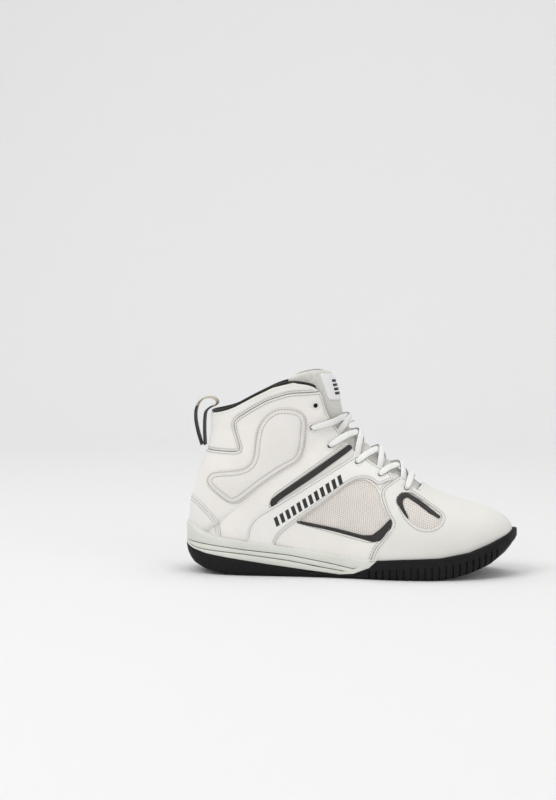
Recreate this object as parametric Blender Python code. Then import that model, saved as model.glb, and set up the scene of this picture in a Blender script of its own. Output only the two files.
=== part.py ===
"""A laced high top shoe for the right foot, built from its separate pieces.

X points to the toe, +Y to the medial (inner) side, -Y to the lateral (outer) side, Z up. The origin is on the
ground under the middle of the outsole. Sizes are millimetres here and become metres where a mesh is made.

The pattern (outlines and stations below) is drawn for the nominal shoe. `px`, `py` and `pz` scale it to the
driving dimensions. Sheet thicknesses and clearances are sizes of their own and don't scale.
"""

import math

import bmesh
import bpy
import numpy as np
from mathutils import Vector
from mathutils.bvhtree import BVHTree
from mathutils.geometry import delaunay_2d_cdt

# ---- Driving dimensions ------------------------------------------------------------------------------------
LENGTH = 305.0  # outsole, heel to toe
BALL_WIDTH = 104.0  # outsole across the ball
ANKLE_HEIGHT = 176.0  # ground to the highest point of the collar

NOMINAL_LENGTH = 305.0
NOMINAL_WIDTH = 104.0
NOMINAL_HEIGHT = 176.0

GAP = 0.35  # between pieces that touch on the real shoe
LINING = 2.4  # lining with its foam backing
BACKING = 1.0  # mesh, film and stiffeners between the lining and the leather
LEATHER = 1.4  # vamp and quarters
COLLAR_FOAM = 1.5
OVERLAY = 1.2  # strap, ankle pad and heel cover
FILM = 0.6  # black edge strips
CUP_GAP = 1.1  # between the upper and the wall of the sole
BOARD_GAP = 1.4  # between the insole board and the lining
SOCKLINER_GAP = 1.8
CUP_WALL = 1.6  # thinnest wall of the sole
RUBBER = 5.0  # outsole under the foam
CORE_WALL = 9.0  # outsole round the foam
BOARD = 2.0
SHANK = 1.2
SHANK_WIDTH = 20.0
SHANK_LENGTH = 96.0
SOCKLINER = 4.5
EYELET_RADIUS = 2.1
LACE_RADIUS = 1.2
AGLET_RADIUS = 1.3
AGLET_LENGTH = 14.0
TONGUE_COVER = 1.2
TONGUE_FOAM = 4.2
TONGUE_LINING = 1.0
LABEL = 0.8
WEBBING = 1.6  # pull loop
WEBBING_WIDTH = 16.0

# Where each layer starts, measured outwards from the last's surface
BACKING_AT = GAP
LEATHER_AT = BACKING_AT + BACKING + GAP
LEATHER_OUT = LEATHER_AT + LEATHER
OVERLAY_AT = LEATHER_OUT + GAP
UPPER_OUT = OVERLAY_AT + OVERLAY
COLLAR_AT = BACKING_AT + COLLAR_FOAM + GAP
TONGUE_OUT = -(GAP + 2 * LACE_RADIUS + 2 * GAP)

TOE_LIFT = 2.4  # the feather line's extra height above the sole's floor at the toe
TOE_SLIT = 4.0  # half the width left open under the toe's tip, inside the cup
RINGS_BELOW = 18  # sections of the loft from the toe to the heel seam
RINGS_ABOVE = 11  # and from there to above the collar
SIDE_STEPS = 9  # facets of each section on one side
SOLE_STEPS = 34  # stations of the sole on one side
CUP_LEVELS = 5  # heights at which the cup's wall follows the upper
LATERAL, MEDIAL = -1, 1
SIDES = {"lateral": LATERAL, "medial": MEDIAL}

# ---- The pattern -------------------------------------------------------------------------------------------
# Edge of the sole from above, heel to toe
PLAN = {
    LATERAL: [
        (-153, 0), (-150.6, -15), (-143, -28), (-126, -37.4), (-97, -40.6), (-62, -40.8), (-28, -42),
        (5, -46), (35, -51.5), (62, -52.5), (90, -49), (114, -41), (132, -30), (144, -16.5),
        (150, -3.5), (152, 6),
    ],
    MEDIAL: [
        (-153, 0), (-150.6, 15), (-143, 27.5), (-126, 36.6), (-97, 38.8), (-62, 38.4), (-28, 38.2), (5, 41),
        (35, 46), (62, 50.5), (80, 51.5), (100, 50), (120, 44.5), (135, 36), (145, 25), (150.5, 14.5),
        (152, 6),
    ],
}  # fmt: skip

# Lines of the sole seen from the side, heel to toe
SOLE_BOTTOM = [
    (-155, 24), (-150, 16), (-143, 9.5), (-130, 4.2), (-113, 1.2), (-92, 0), (76, 0), (93, 1.8), (107, 5),
    (118, 8.6), (128, 13), (141, 22), (150, 30), (155, 34.5),
]  # fmt: skip
CUP_FLOOR = [
    (-155, 21.4), (-120, 20.6), (-71, 17), (-20, 12), (12, 10), (66, 9), (90, 9.8), (111, 13.6), (129, 20.6),
    (144, 30.5), (155, 39),
]  # fmt: skip
CUP_TOP = [
    (-155, 47), (-145, 43.5), (-137, 39), (-115, 34), (-71, 29), (-13, 21.5), (14, 18), (27, 17.5), (48, 19),
    (84, 20.5), (111, 26), (128, 33), (142, 42), (155, 50),
]  # fmt: skip
WEDGE_FOOT = [
    (-170, 31), (-155, 27), (-144, 23), (-130, 19.5), (-107, 16), (-71, 11), (-36, 6.6), (-7, 3.6), (6, 4.6),
    (20, 10.5), (27, 17), (29, 60),
]  # fmt: skip

# Sections of the last, toe to collar. Each is a plane seen edge on from the side, from (x, z) on the ridge to (x, z) on
# the feather line or the back of the heel. Then: half width on each side of the ridge, its shift to the medial side,
# where the section is widest as a share of its height, and how square it is before and after that.
STATIONS = [
    (145.0, 39.0, 144.2, 33.8, 4.6, 4.6, 6.0, 0.60, 2.2, 2.5),
    (144.6, 43.2, 143.2, 31.6, 12.6, 11.6, 6.0, 0.60, 2.2, 2.5),
    (140.0, 50.5, 138.5, 26.0, 21, 19, 5.8, 0.62, 2.2, 2.5),
    (129.5, 56.0, 128.5, 20.5, 30.5, 28, 5.4, 0.64, 2.2, 2.5),
    (112.0, 61.8, 110.5, 14.0, 39.5, 36.5, 4.6, 0.66, 2.2, 2.5),
    (92.0, 67.6, 89.5, 10.2, 45.5, 41.5, 3.4, 0.66, 2.2, 2.5),
    (72.0, 74.5, 66.0, 9.6, 48.0, 43.3, 2.2, 0.66, 2.1, 2.5),
    (56.0, 87.5, 41.0, 9.8, 47.5, 40.5, 1.2, 0.66, 2.0, 2.5),
    (41.0, 99.5, 12.0, 10.6, 42.5, 35.5, 0.5, 0.64, 2.0, 2.5),
    (26.5, 110.5, -20.0, 12.8, 38.0, 33.0, 0.0, 0.62, 2.0, 2.6),
    (14.5, 120.5, -56.0, 16.5, 34.8, 31.6, 0.0, 0.58, 2.0, 2.8),
    (6.0, 128.5, -93.0, 19.2, 33.4, 31.4, 0.0, 0.55, 2.0, 3.0),
    (0.8, 134.5, -122.0, 21.4, 33.5, 32.0, 0.0, 0.52, 2.0, 3.2),
    (-2.2, 139.5, -140.0, 23.0, 33.0, 32.0, 0.0, 0.50, 2.0, 2.7),
    (-4.2, 144.5, -146.0, 33.0, 33.0, 32.5, 0.0, 0.50, 2.0, 2.5),
    (-5.6, 150.0, -146.4, 55.0, 33.5, 33.0, 0.0, 0.50, 2.1, 2.5),
    (-7.0, 157.0, -143.0, 78.0, 33.5, 33.5, 0.0, 0.52, 2.1, 2.5),
    (-8.8, 165.0, -135.5, 100.0, 33.0, 33.0, 0.0, 0.52, 2.1, 2.6),
    (-11.0, 173.0, -127.0, 120.0, 32.5, 32.5, 0.0, 0.52, 2.1, 2.6),
    (-14.0, 181.0, -124.6, 136.0, 33.0, 33.0, 0.0, 0.52, 2.1, 2.6),
    (-17.5, 190.0, -128.5, 152.0, 34.0, 34.0, 0.0, 0.52, 2.1, 2.6),
    (-21.0, 200.0, -134.0, 168.0, 35.5, 35.5, 0.0, 0.52, 2.1, 2.6),
]  # fmt: skip
LAST_FEATHER = 13.3  # the sections end on the feather line up to this station,
HEEL_SEAM = 13.7  # and on the back of the heel from this one

# Seams of the upper seen from the side, and regions that they bound
THROAT_EDGE = [
    (62, 77), (52, 85.5), (45, 89), (33, 94.5), (18, 102), (4, 112), (-7, 125), (-16, 138), (-22, 149),
    (-25, 162),
]  # fmt: skip
OPENING = THROAT_EDGE + [(-30, 170), (-30, 260), (90, 260), (68, 95)]
COLLAR_TOP = [
    (-25, 162), (-33, 173.5), (-51, 176), (-69, 171.5), (-87, 162.5), (-107, 151.5), (-124, 147), (-150, 147),
    (-300, 147), (-300, -90), (300, -90), (300, 162),
]  # fmt: skip
VAMP_REAR = [
    (49, 92), (33, 81.5), (30, 77), (32, 69), (37, 58), (42, 52), (41, 47), (36, 39), (26, 28), (19, 8),
    (19, -60),
]  # fmt: skip
COLLAR_SEAM = [
    (-10, 168.5), (-37, 167), (-54, 166.5), (-73, 160.5), (-88, 152), (-101, 143.5), (-104.5, 138),
    (-101, 126), (-98, 117), (-99, 113),
]  # fmt: skip
STRAP = [
    (9, 110.5), (-85, 53.5), (-91.5, 42), (-92.4, 25), (-67, 22.5), (-66.5, 31), (-62, 39),
    (-46, 51.5), (-1, 84.5), (9, 89), (19, 88.5), (27, 82), (33, 85), (40, 86), (34.5, 93),
    (20, 100.5),
]  # fmt: skip
ANKLE_PAD = [
    (-70, 152.5), (-56, 154.5), (-44, 151.5), (-38, 144), (-39.5, 122), (-43, 105), (-58, 97), (-79, 82.5),
    (-99, 66), (-108, 64.5), (-127, 79), (-129.5, 86), (-124, 94.5), (-95, 98), (-86.5, 106),
    (-85, 124), (-82, 139),
]  # fmt: skip
STRIPE = [(2, 114.5), (-3, 119), (-66, 73), (-70.5, 63.5), (-66, 62.5), (-62, 67), (3, 108.5)]
STRIPE_EDGE = [(1, 114.5), (-3.5, 118.5), (-66, 73), (-70.8, 66.2), (-68, 65.8), (-62.5, 70), (-52, 76.5)]
WINDOW = [
    (-45, 50.5), (1, 85), (8, 88), (16, 87.5), (24, 82), (28.5, 76), (30.5, 67), (36, 57),
    (39.5, 52.5), (39.5, 49), (30, 36.5), (20, 35),
]  # fmt: skip
WINDOW_EDGE = [
    (-44, 50.8), (-41, 51.2), (-15, 44.5), (10, 39.4), (22, 41), (30, 47), (36.5, 55.5), (39.2, 52.2),
    (39, 49.2), (29.8, 37), (20, 35.4),
]  # fmt: skip
VENT = [(51, 75), (45, 71), (49.5, 62), (55, 53.5), (63, 47), (74, 45), (82, 48), (85, 54), (82.5, 57.5), (56, 75)]
VENT_EDGE = [
    (51.2, 74.6), (45.6, 70.8), (50, 62), (54.6, 54.6), (53, 62), (53.5, 69), (57, 72), (82, 55.4),
    (83.6, 56), (56, 74.4),
]  # fmt: skip
HEEL_COVER = [
    (-190, 71), (-144, 70.5), (-137, 68), (-127, 59.5), (-120, 51.5), (-116.5, 44), (-115, 34), (-115, 30.5),
    (-190, 36),
]  # fmt: skip
WINDOW_MESH = [(-50, 47), (1, 89), (18, 92), (34, 80), (45, 50), (30, 31), (18, 30)]
VENT_MESH = [
    (51.6, 76.2), (41, 71), (46, 60), (52, 50), (62, 43), (75, 41.5), (86, 46), (89, 54), (84, 61),
]  # fmt: skip
STRIPE_FELT = [
    (1, 114.2), (-3, 118.2), (-65.4, 72.6), (-69.8, 63.9), (-66, 63), (-62, 67.6), (2.4, 109),
]  # fmt: skip
BACKER_WINDOW = [(-50, 47), (1, 89.5), (18, 92.5), (34.5, 80.5), (45.5, 50), (30, 31), (18, 30)]
COUNTER = [(-190, 96), (-138, 96), (-112, 74), (-97, 40), (-95, -60), (-190, -60)]
EYESTAY_REAR = [(53, 76), (45, 79), (28, 82), (8, 90), (-14, 102), (-30, 113), (-43, 131), (-48, 150), (-48, 170)]
TOE_PUFF = [(110, 95), (104, 60), (100, 30), (99, -60), (300, -60), (300, 95)]
LINING_SPLIT = [(66, 100), (56, 70), (40, 40), (30, -60)]
TONGUE = [
    (74, 110), (70, 66), (52, 72.5), (36, 82), (20, 91), (4, 102), (-14, 115), (-28, 131), (-37, 146),
    (-43, 160), (-50, 170), (-54, 178), (-50, 181.5), (-40, 184.5), (-28, 186), (-18, 184.5),
    (-8, 182), (60, 182),
]  # fmt: skip
TONGUE_LABEL = [(-24, 182.5), (-17.5, 160), (20, 160), (20, 180), (-10, 180.5)]
EYELETS = [(51.5, 79), (28, 91.2), (7, 102.6), (-18, 118), (-34, 135), (-31, 155)]
LACED = 5  # the top pair of eyelets stays free
LACE_TUCK = [(-36.5, 131.5), (-32, 123.5), (-24, 114.5)]  # tucked ends, under the eyestay
TUCKED_TOWARDS = (-12.5, 106)
HEEL_LEDGE = 113.0  # top of the quarters behind the ankle

# Pull loop seen from the side: the middle of the webbing, from one sewn end to the other
LOOP_LINE = [
    (-136.0, 116.0), (-136.6, 128), (-136.4, 140), (-135.2, 147), (-131, 151.0), (-126.0, 153.2),
    (-124.4, 156.2), (-127, 159.4), (-133, 160.4), (-140, 157.5), (-144.2, 150), (-144.8, 140),
    (-142.6, 128), (-139.0, 116.0),
]  # fmt: skip

# base colour, roughness
LOOKS = {
    "smooth_leather": ((0.80, 0.79, 0.76), 0.42),
    "suede": ((0.74, 0.72, 0.69), 0.75),
    "mesh": ((0.72, 0.69, 0.65), 0.85),
    "felt": ((0.55, 0.53, 0.50), 0.9),
    "black_film": ((0.03, 0.03, 0.03), 0.5),
    "lining": ((0.02, 0.02, 0.02), 0.9),
    "rubber_black": ((0.02, 0.02, 0.022), 0.6),
    "rubber_white": ((0.68, 0.69, 0.65), 0.5),
    "lace": ((0.82, 0.82, 0.81), 0.8),
    "webbing": ((0.35, 0.32, 0.28), 0.85),
    "foam": ((0.85, 0.83, 0.75), 0.9),
    "board": ((0.62, 0.55, 0.42), 0.9),
    "steel": ((0.6, 0.6, 0.6), 0.35),
    "stiffener": ((0.75, 0.75, 0.72), 0.5),
    "label": ((0.86, 0.86, 0.87), 0.7),
    "aglet": ((0.9, 0.9, 0.9), 0.2),
}


def px(x):
    return x * LENGTH / NOMINAL_LENGTH


def py(y):
    return y * BALL_WIDTH / NOMINAL_WIDTH


def pz(z):
    return z * ANKLE_HEIGHT / NOMINAL_HEIGHT


# ---- Curves ------------------------------------------------------------------------------------------------
def bspline(rows, at):
    """Uniform cubic B-spline from the first row to the last, at positions counted in rows."""
    rows = np.asarray(rows, float)
    padded = np.vstack([2 * rows[0] - rows[1], rows, 2 * rows[-1] - rows[-2]])
    at = np.clip(np.asarray(at, float), 0, len(rows) - 1)
    i = np.minimum(at.astype(int), len(rows) - 2)
    u = (at - i)[..., None]
    weights = ((1 - u) ** 3, 3 * u**3 - 6 * u**2 + 4, -3 * u**3 + 3 * u**2 + 3 * u + 1, u**3)
    return sum(w * padded[i + k] for k, w in enumerate(weights)) / 6


def through(points, steps):
    """A smooth curve through all the points (Catmull-Rom), with that many steps between each two."""
    p = np.asarray(points, float)
    p = np.vstack([2 * p[0] - p[1], p, 2 * p[-1] - p[-2]])
    u = np.linspace(0, 1, steps, endpoint=False)[:, None]
    spans = []
    for a, b, c, d in zip(p[:-3], p[1:-2], p[2:-1], p[3:], strict=True):
        square = (2 * a - 5 * b + 4 * c - d) * u**2
        cube = (3 * b - a - 3 * c + d) * u**3
        spans.append(0.5 * (2 * b + (c - a) * u + square + cube))
    spans.append(p[-2:-1])
    return np.vstack(spans)


def side_line(points, x):
    """Height of a side-view line at x, both on this shoe's scale."""
    p = np.asarray(points, float)
    return np.interp(x, px(p[:, 0]), pz(p[:, 1]))


def outline(points):
    p = np.asarray(points, float)
    return np.stack([px(p[:, 0]), pz(p[:, 1])], 1)


def moved(line, distance):
    """An open line moved to its left by a distance, seen with X to the right and Z up."""
    p = np.asarray(line, float)
    along = np.gradient(p, axis=0)
    along /= np.linalg.norm(along, axis=1)[:, None]
    return p + np.stack([-along[:, 1], along[:, 0]], 1) * distance


def inside(points, polygon):
    x, z = points[:, 0], points[:, 1]
    found = np.zeros(len(points), bool)
    for (x0, z0), (x1, z1) in zip(polygon, np.roll(polygon, -1, 0), strict=True):
        crosses = (z0 > z) != (z1 > z)
        if z0 != z1:
            found ^= crosses & (x < (x1 - x0) * (z - z0) / (z1 - z0) + x0)
    return found


# ---- The last: the surface that every sheet of the upper is offset from ------------------------------------
def plan_y(x, side):
    """Signed y of the sole's edge at x."""
    p = through([(px(a), py(b)) for a, b in PLAN[side]], 4)
    return np.interp(x, p[:, 0], p[:, 1])


def section(at, angle):
    """Points on the last: `at` counts stations, and angle runs from -180 (lateral back) through 0 (ridge) to 180."""
    at, angle = np.broadcast_arrays(np.asarray(at, float), np.asarray(angle, float))
    row = bspline(STATIONS, at)
    fx, fz, bx, bz, lateral, medial, ridge, widest, front, back = (row[..., k] for k in range(10))
    fx, bx, fz, bz, ridge = px(fx), px(bx), pz(fz), pz(bz), py(ridge)
    on_feather = np.clip((HEEL_SEAM - at) / (HEEL_SEAM - LAST_FEATHER), 0, 1)
    lift = TOE_LIFT * np.clip((bx / px(1) - 98) / 24, 0, 1)
    bz = np.where(at < LAST_FEATHER, np.maximum(bz, side_line(CUP_FLOOR, bx) + GAP + 0.3 + lift), bz)
    side = np.where(angle < 0, LATERAL, MEDIAL)
    share = (1 - np.cos(np.radians(np.abs(angle)))) / 2
    room = CUP_WALL + CUP_GAP + np.where(bx > px(30), LEATHER_OUT, UPPER_OUT) + 0.6
    reach = bx + np.clip(bx / px(100), -1, 1) * room
    edge = np.where(side == LATERAL, plan_y(reach, LATERAL), plan_y(reach, MEDIAL))
    foot = np.maximum(side * (edge - ridge) - room, TOE_SLIT) * on_feather
    half = np.where(side == LATERAL, py(lateral), py(medial))
    half = np.maximum(half, foot * 1.01)
    rise = np.clip(share / widest, 0, 1)
    fall = np.clip((share - widest) / (1 - widest), 0, 1)
    before = half * (1 - (1 - rise) ** front) ** (1 / front)
    after_foot = foot + (half - foot) * (1 - fall**back)
    after_heel = half * (1 - fall**back) ** (1 / back)
    after = after_foot * on_feather + after_heel * (1 - on_feather)
    y = ridge + side * np.where(share < widest, before, after)
    return np.stack([fx + (bx - fx) * share, y, fz + (bz - fz) * share], -1)


def last(at, angle, offset=0.0):
    """Points at a distance outside the last."""
    at, angle = np.broadcast_arrays(np.asarray(at, float), np.asarray(angle, float))
    around = section(at, np.minimum(angle + 3, 180)) - section(at, np.maximum(angle - 3, -180))
    along = section(np.minimum(at + 0.1, len(STATIONS) - 1), angle) - section(np.maximum(at - 0.1, 0), angle)
    across = section(at, np.full(at.shape, -177.0)) - section(at, np.full(at.shape, 177.0))
    back_seam = (np.abs(angle) > 179.5) & (at >= HEEL_SEAM)
    around = np.where(back_seam[..., None], across, around)
    normal = np.cross(around, along)
    normal[..., 1] = np.where(back_seam | (angle == 0), 0, normal[..., 1])
    on_cup = (np.abs(angle) > 150) & (at < HEEL_SEAM)
    normal[..., 2] = np.where(on_cup, np.maximum(normal[..., 2], 0), normal[..., 2])
    normal /= np.maximum(np.linalg.norm(normal, axis=-1), 1e-9)[..., None]
    return section(at, angle) + normal * np.asarray(offset, float)


RING_AT = np.concatenate(
    [np.linspace(0, HEEL_SEAM, RINGS_BELOW), np.linspace(HEEL_SEAM, len(STATIONS) - 1, RINGS_ABOVE)[1:]]
)
STEP_ANGLES = np.linspace(0, 180, SIDE_STEPS + 1)
GRID = section(RING_AT[:, None], STEP_ANGLES[None, :])[..., [0, 2]].reshape(-1, 2)


def grid_index(ring, step):
    return ring * (SIDE_STEPS + 1) + step


def grid_triangles():
    found = []
    for ring in range(len(RING_AT) - 1):
        for step in range(SIDE_STEPS):
            a, b = grid_index(ring, step), grid_index(ring, step + 1)
            c, d = grid_index(ring + 1, step + 1), grid_index(ring + 1, step)
            found += [(a, b, c), (a, c, d)]
    return np.array(found)


TRIANGLES = grid_triangles()


def layer(side, offset):
    """The grid's points at a distance outside the last, on one side."""
    return last(RING_AT[:, None], STEP_ANGLES[None, :] * side, offset).reshape(-1, 3)


def locate(points):
    """For points of the side view: the grid triangle that each is in (-1 for none) and its three weights."""
    a, b, c = (GRID[TRIANGLES[:, k]] for k in range(3))
    u, v = b - a, c - a
    area = u[:, 0] * v[:, 1] - u[:, 1] * v[:, 0]
    good = np.abs(area) > 1e-9
    area = np.where(good, area, 1)
    rel = points[:, None, :] - a[None]
    wb = (rel[..., 0] * v[:, 1] - rel[..., 1] * v[:, 0]) / area
    wc = (u[:, 0] * rel[..., 1] - u[:, 1] * rel[..., 0]) / area
    weights = np.stack([1 - wb - wc, wb, wc], -1)
    worst = np.where(good, weights.min(-1), -9)
    best = worst.argmax(1)
    rows = np.arange(len(points))
    chosen = weights[rows, best]
    chosen = np.where(np.abs(chosen) < 1e-4, 0, chosen)
    return np.where(worst[rows, best] > -1e-5, best, -1), chosen / chosen.sum(1)[:, None]


def on_upper(x, z, side, offset):
    """A point at a distance outside the last, above a point of the nominal side view."""
    triangle, weights = locate(np.array([[px(x), pz(z)]]))
    corners = layer(side, offset)[TRIANGLES[triangle[0]]]
    return np.asarray(weights[0]) @ corners


def eyelet_outline(x, z, side, radius):
    """A round hole through the upper, seen from the side."""
    centre = on_upper(x, z, side, 0)
    out = on_upper(x, z, side, 1) - centre
    out /= np.linalg.norm(out)
    first = np.cross(out, (0, 1.0, 0))
    first /= np.linalg.norm(first)
    second = np.cross(out, first)
    turn = np.linspace(0, 2 * math.pi, 8, endpoint=False)[:, None]
    ring = centre + radius * (np.cos(turn) * first + np.sin(turn) * second)
    return ring[:, [0, 2]]


# ---- Scene helpers -----------------------------------------------------------------------------------------
for old in list(bpy.data.objects):
    bpy.data.objects.remove(old, do_unlink=True)
parts = bpy.data.collections.new("high_top_shoe")
cutters = bpy.data.collections.new("cutters")
bpy.context.scene.collection.children.link(parts)
bpy.context.scene.collection.children.link(cutters)
cutters.hide_render = True


def make(name, points, faces, look, collection=None, smooth=True):
    """A mesh object from points in millimetres."""
    mesh = bpy.data.meshes.new(name)
    metres = np.asarray(points, float) / 1000
    mesh.from_pydata([tuple(p) for p in metres], [], [tuple(map(int, f)) for f in faces])
    mesh.validate()
    shape = bmesh.new()
    shape.from_mesh(mesh)
    bmesh.ops.remove_doubles(shape, verts=shape.verts, dist=1e-6)
    bmesh.ops.recalc_face_normals(shape, faces=shape.faces)
    shape.to_mesh(mesh)
    shape.free()
    obj = bpy.data.objects.new(name, mesh)
    (collection or parts).objects.link(obj)
    if collection is cutters:
        obj.hide_render = True
        obj.display_type = "WIRE"
        return obj
    material = bpy.data.materials.new(name)
    material.use_nodes = True
    colour, roughness = LOOKS[look]
    shader = material.node_tree.nodes["Principled BSDF"]
    shader.inputs["Base Color"].default_value = (*colour, 1)
    shader.inputs["Roughness"].default_value = roughness
    material.diffuse_color = (*colour, 1)
    mesh.materials.append(material)
    if smooth:
        mesh.shade_smooth()
        mesh.set_sharp_from_angle(angle=math.radians(42))
    return obj


def boolean(obj, cutter, operation):
    """Cuts at once, so that what's left is a plain mesh."""
    modifier = obj.modifiers.new("cut", "BOOLEAN")
    modifier.solver = "EXACT"
    modifier.operation = operation
    modifier.object = cutter
    bpy.context.view_layer.update()
    graph = bpy.context.evaluated_depsgraph_get()
    mesh = bpy.data.meshes.new_from_object(obj.evaluated_get(graph))
    obj.modifiers.clear()
    old = obj.data
    obj.data = mesh
    bpy.data.meshes.remove(old)
    mesh.name = obj.name


def prism(name, polygon, y0=-90.0, y1=90.0):
    """A cutter: a side-view polygon pushed through the shoe."""
    n = len(polygon)
    points = [(x, y, z) for y in (y0, y1) for x, z in polygon]
    faces = [list(range(n)), list(range(n, 2 * n))[::-1]]
    faces += [(i, (i + 1) % n, n + (i + 1) % n, n + i) for i in range(n)]
    return make(name, points, faces, None, cutters)


# ---- Sheets of the upper -----------------------------------------------------------------------------------
def pattern(keep, cut):
    """Triangles of the side view inside every `keep` outline and no `cut` outline, split along the grid's edges."""
    points = [Vector(p) for p in GRID]
    edges = set()
    for a, b, c in TRIANGLES:
        edges |= {tuple(sorted(e)) for e in ((a, b), (b, c), (c, a))}
    edges = [tuple(map(int, e)) for e in sorted(edges)]
    for polygon in list(keep) + list(cut):
        start = len(points)
        points += [Vector(p) for p in polygon]
        edges += [(start + i, start + (i + 1) % len(polygon)) for i in range(len(polygon))]
    flat, _, faces, *_ = delaunay_2d_cdt(points, edges, [], 0, 1e-4, False)
    flat = np.array([tuple(p) for p in flat])
    faces = np.array(faces)
    middles = flat[faces].mean(1)
    good = locate(middles)[0] >= 0
    for polygon in keep:
        good &= inside(middles, polygon)
    for polygon in cut:
        good &= ~inside(middles, polygon)
    corners = flat[faces]
    u, v = corners[:, 1] - corners[:, 0], corners[:, 2] - corners[:, 0]
    good &= np.abs(u[:, 0] * v[:, 1] - u[:, 1] * v[:, 0]) > 1e-6
    return flat, faces[good]


def sheet(name, look, keep, cut=(), sides=(LATERAL, MEDIAL), at=LEATHER_AT, thick=LEATHER):
    """A piece of the upper: an even sheet over the last, cut to its outlines."""
    outer, inner, triangles = [], [], []
    count = 0
    for side in sides:
        chosen = cut[side] if isinstance(cut, dict) else cut
        flat, faces = pattern([np.asarray(k) for k in keep], [np.asarray(c) for c in chosen])
        used = np.unique(faces)
        place = np.full(len(flat), -1)
        place[used] = np.arange(len(used)) + count
        where, weights = locate(flat[used])
        where = np.maximum(where, 0)
        for offset, store in ((at + thick, outer), (at, inner)):
            corners = layer(side, offset)[TRIANGLES[where]]
            store.append((weights[:, :, None] * corners).sum(1))
        faces = place[faces]
        triangles.append(faces if side == MEDIAL else faces[:, ::-1])
        count += len(used)
    outer, inner, triangles = np.vstack(outer), np.vstack(inner), np.vstack(triangles)
    keys = np.round(np.hstack([outer, inner]), 4)
    _, first, index = np.unique(keys, axis=0, return_index=True, return_inverse=True)
    index = index.reshape(-1)
    outer, inner = outer[first], inner[first]
    triangles = index[triangles]
    triangles = triangles[
        (triangles[:, 0] != triangles[:, 1])
        & (triangles[:, 1] != triangles[:, 2])
        & (triangles[:, 0] != triangles[:, 2])
    ]
    directed = {}
    for a, b, c in triangles:
        for e in ((a, b), (b, c), (c, a)):
            directed[e] = directed.get(e, 0) + 1
    n = len(outer)
    faces = [tuple(t) for t in triangles] + [(a + n, c + n, b + n) for a, b, c in triangles]
    faces += [(b, a, a + n, b + n) for a, b in directed if (b, a) not in directed]
    return make(name, np.vstack([outer, inner]), faces, look)


opening = outline(OPENING)
under_collar = outline(COLLAR_TOP)
vamp_rear = outline(VAMP_REAR)
collar_seam = outline(COLLAR_SEAM)
ledge_back = np.array([(px(-400), pz(HEEL_LEDGE))])
front_of_seam = np.vstack([moved(vamp_rear, GAP / 2), outline([(400, -60), (400, 300), (60, 300)])])
behind_seam = np.vstack([moved(vamp_rear, -GAP / 2), outline([(-400, -60), (-400, 300), (40, 300)])])
above_collar_seam = np.vstack(
    [moved(collar_seam, -GAP / 2), ledge_back + (0, GAP / 2), outline([(-400, 400), (50, 400)])]
)
below_collar_seam = np.vstack(
    [
        moved(collar_seam, GAP / 2),
        ledge_back - (0, GAP / 2),
        outline([(-400, -400), (400, -400), (400, 168.5)]),
    ]
)
lining_front = np.vstack([moved(outline(LINING_SPLIT), GAP / 2), outline([(400, -60), (400, 300)])])
lining_rear = np.vstack([moved(outline(LINING_SPLIT), -GAP / 2), outline([(-400, -60), (-400, 300)])])
eyestay_rear = outline(EYESTAY_REAR)
lacing_zone = np.vstack([eyestay_rear, outline([(-48, 400), (400, 400), (60, 60)])])
eyestay_zone = np.vstack([moved(eyestay_rear, -GAP), outline([(-46, 300), (54, 300)])])
grown = {}
for piece, points in (("strap", STRAP), ("stripe", STRIPE), ("window", WINDOW), ("vent", VENT)):
    grown[piece] = outline(points)


def eyelets(side, rows):
    return [eyelet_outline(*EYELETS[row], side, EYELET_RADIUS) for row in rows]


sheet("vamp_lining", "lining", [lining_front], [opening], at=-LINING, thick=LINING)
sheet("quarter_lining", "lining", [lining_rear, under_collar], [opening, lacing_zone], at=-LINING, thick=LINING)
sheet("toe_puff", "stiffener", [outline(TOE_PUFF)], [], at=BACKING_AT, thick=BACKING)
sheet("heel_counter", "stiffener", [outline(COUNTER)], [], at=BACKING_AT, thick=BACKING)
vamp_holes = {side: [opening, grown["vent"], *eyelets(side, [0])] for side in (LATERAL, MEDIAL)}
sheet("vamp", "suede", [front_of_seam], vamp_holes)
for name, side in SIDES.items():
    sheet(
        f"quarter_{name}",
        "smooth_leather",
        [behind_seam, under_collar, below_collar_seam],
        [opening, grown["window"], grown["stripe"], *eyelets(side, [1, 2, 3, 4, 5])],
        (side,),
    )
    sheet(f"window_mesh_{name}", "mesh", [outline(WINDOW_MESH)], (), (side,), BACKING_AT, BACKING)
    sheet(f"window_strip_{name}", "black_film", [outline(WINDOW_EDGE)], (), (side,), LEATHER_AT, FILM)
    sheet(f"stripe_felt_{name}", "felt", [outline(STRIPE_FELT)], (), (side,), LEATHER_AT, LEATHER)
    sheet(f"stripe_film_{name}", "black_film", [outline(STRIPE_EDGE)], (), (side,), OVERLAY_AT, FILM)
    sheet(f"vent_mesh_{name}", "mesh", [outline(VENT_MESH)], (), (side,), BACKING_AT, BACKING)
    sheet(f"vent_strip_{name}", "black_film", [outline(VENT_EDGE)], (), (side,), LEATHER_AT, FILM)
    strap_holes = eyelets(side, [1, 2])
    sheet(f"strap_{name}", "smooth_leather", [outline(STRAP)], strap_holes, (side,), OVERLAY_AT, OVERLAY)
    sheet(f"ankle_pad_{name}", "smooth_leather", [outline(ANKLE_PAD)], (), (side,), OVERLAY_AT, OVERLAY)
    sheet(
        f"eyestay_backer_{name}",
        "stiffener",
        [eyestay_zone, outline([(-400, 161), (-400, -60), (50, -60), (50, 161)])],
        [opening, outline(BACKER_WINDOW), *eyelets(side, range(6))],
        (side,),
        BACKING_AT,
        BACKING,
    )
sheet("heel_cover", "smooth_leather", [outline(HEEL_COVER)], (), at=OVERLAY_AT, thick=OVERLAY)
collar_zone = [under_collar, above_collar_seam]
sheet("collar_foam", "foam", collar_zone, [opening, eyestay_zone], at=BACKING_AT, thick=COLLAR_FOAM)
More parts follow.
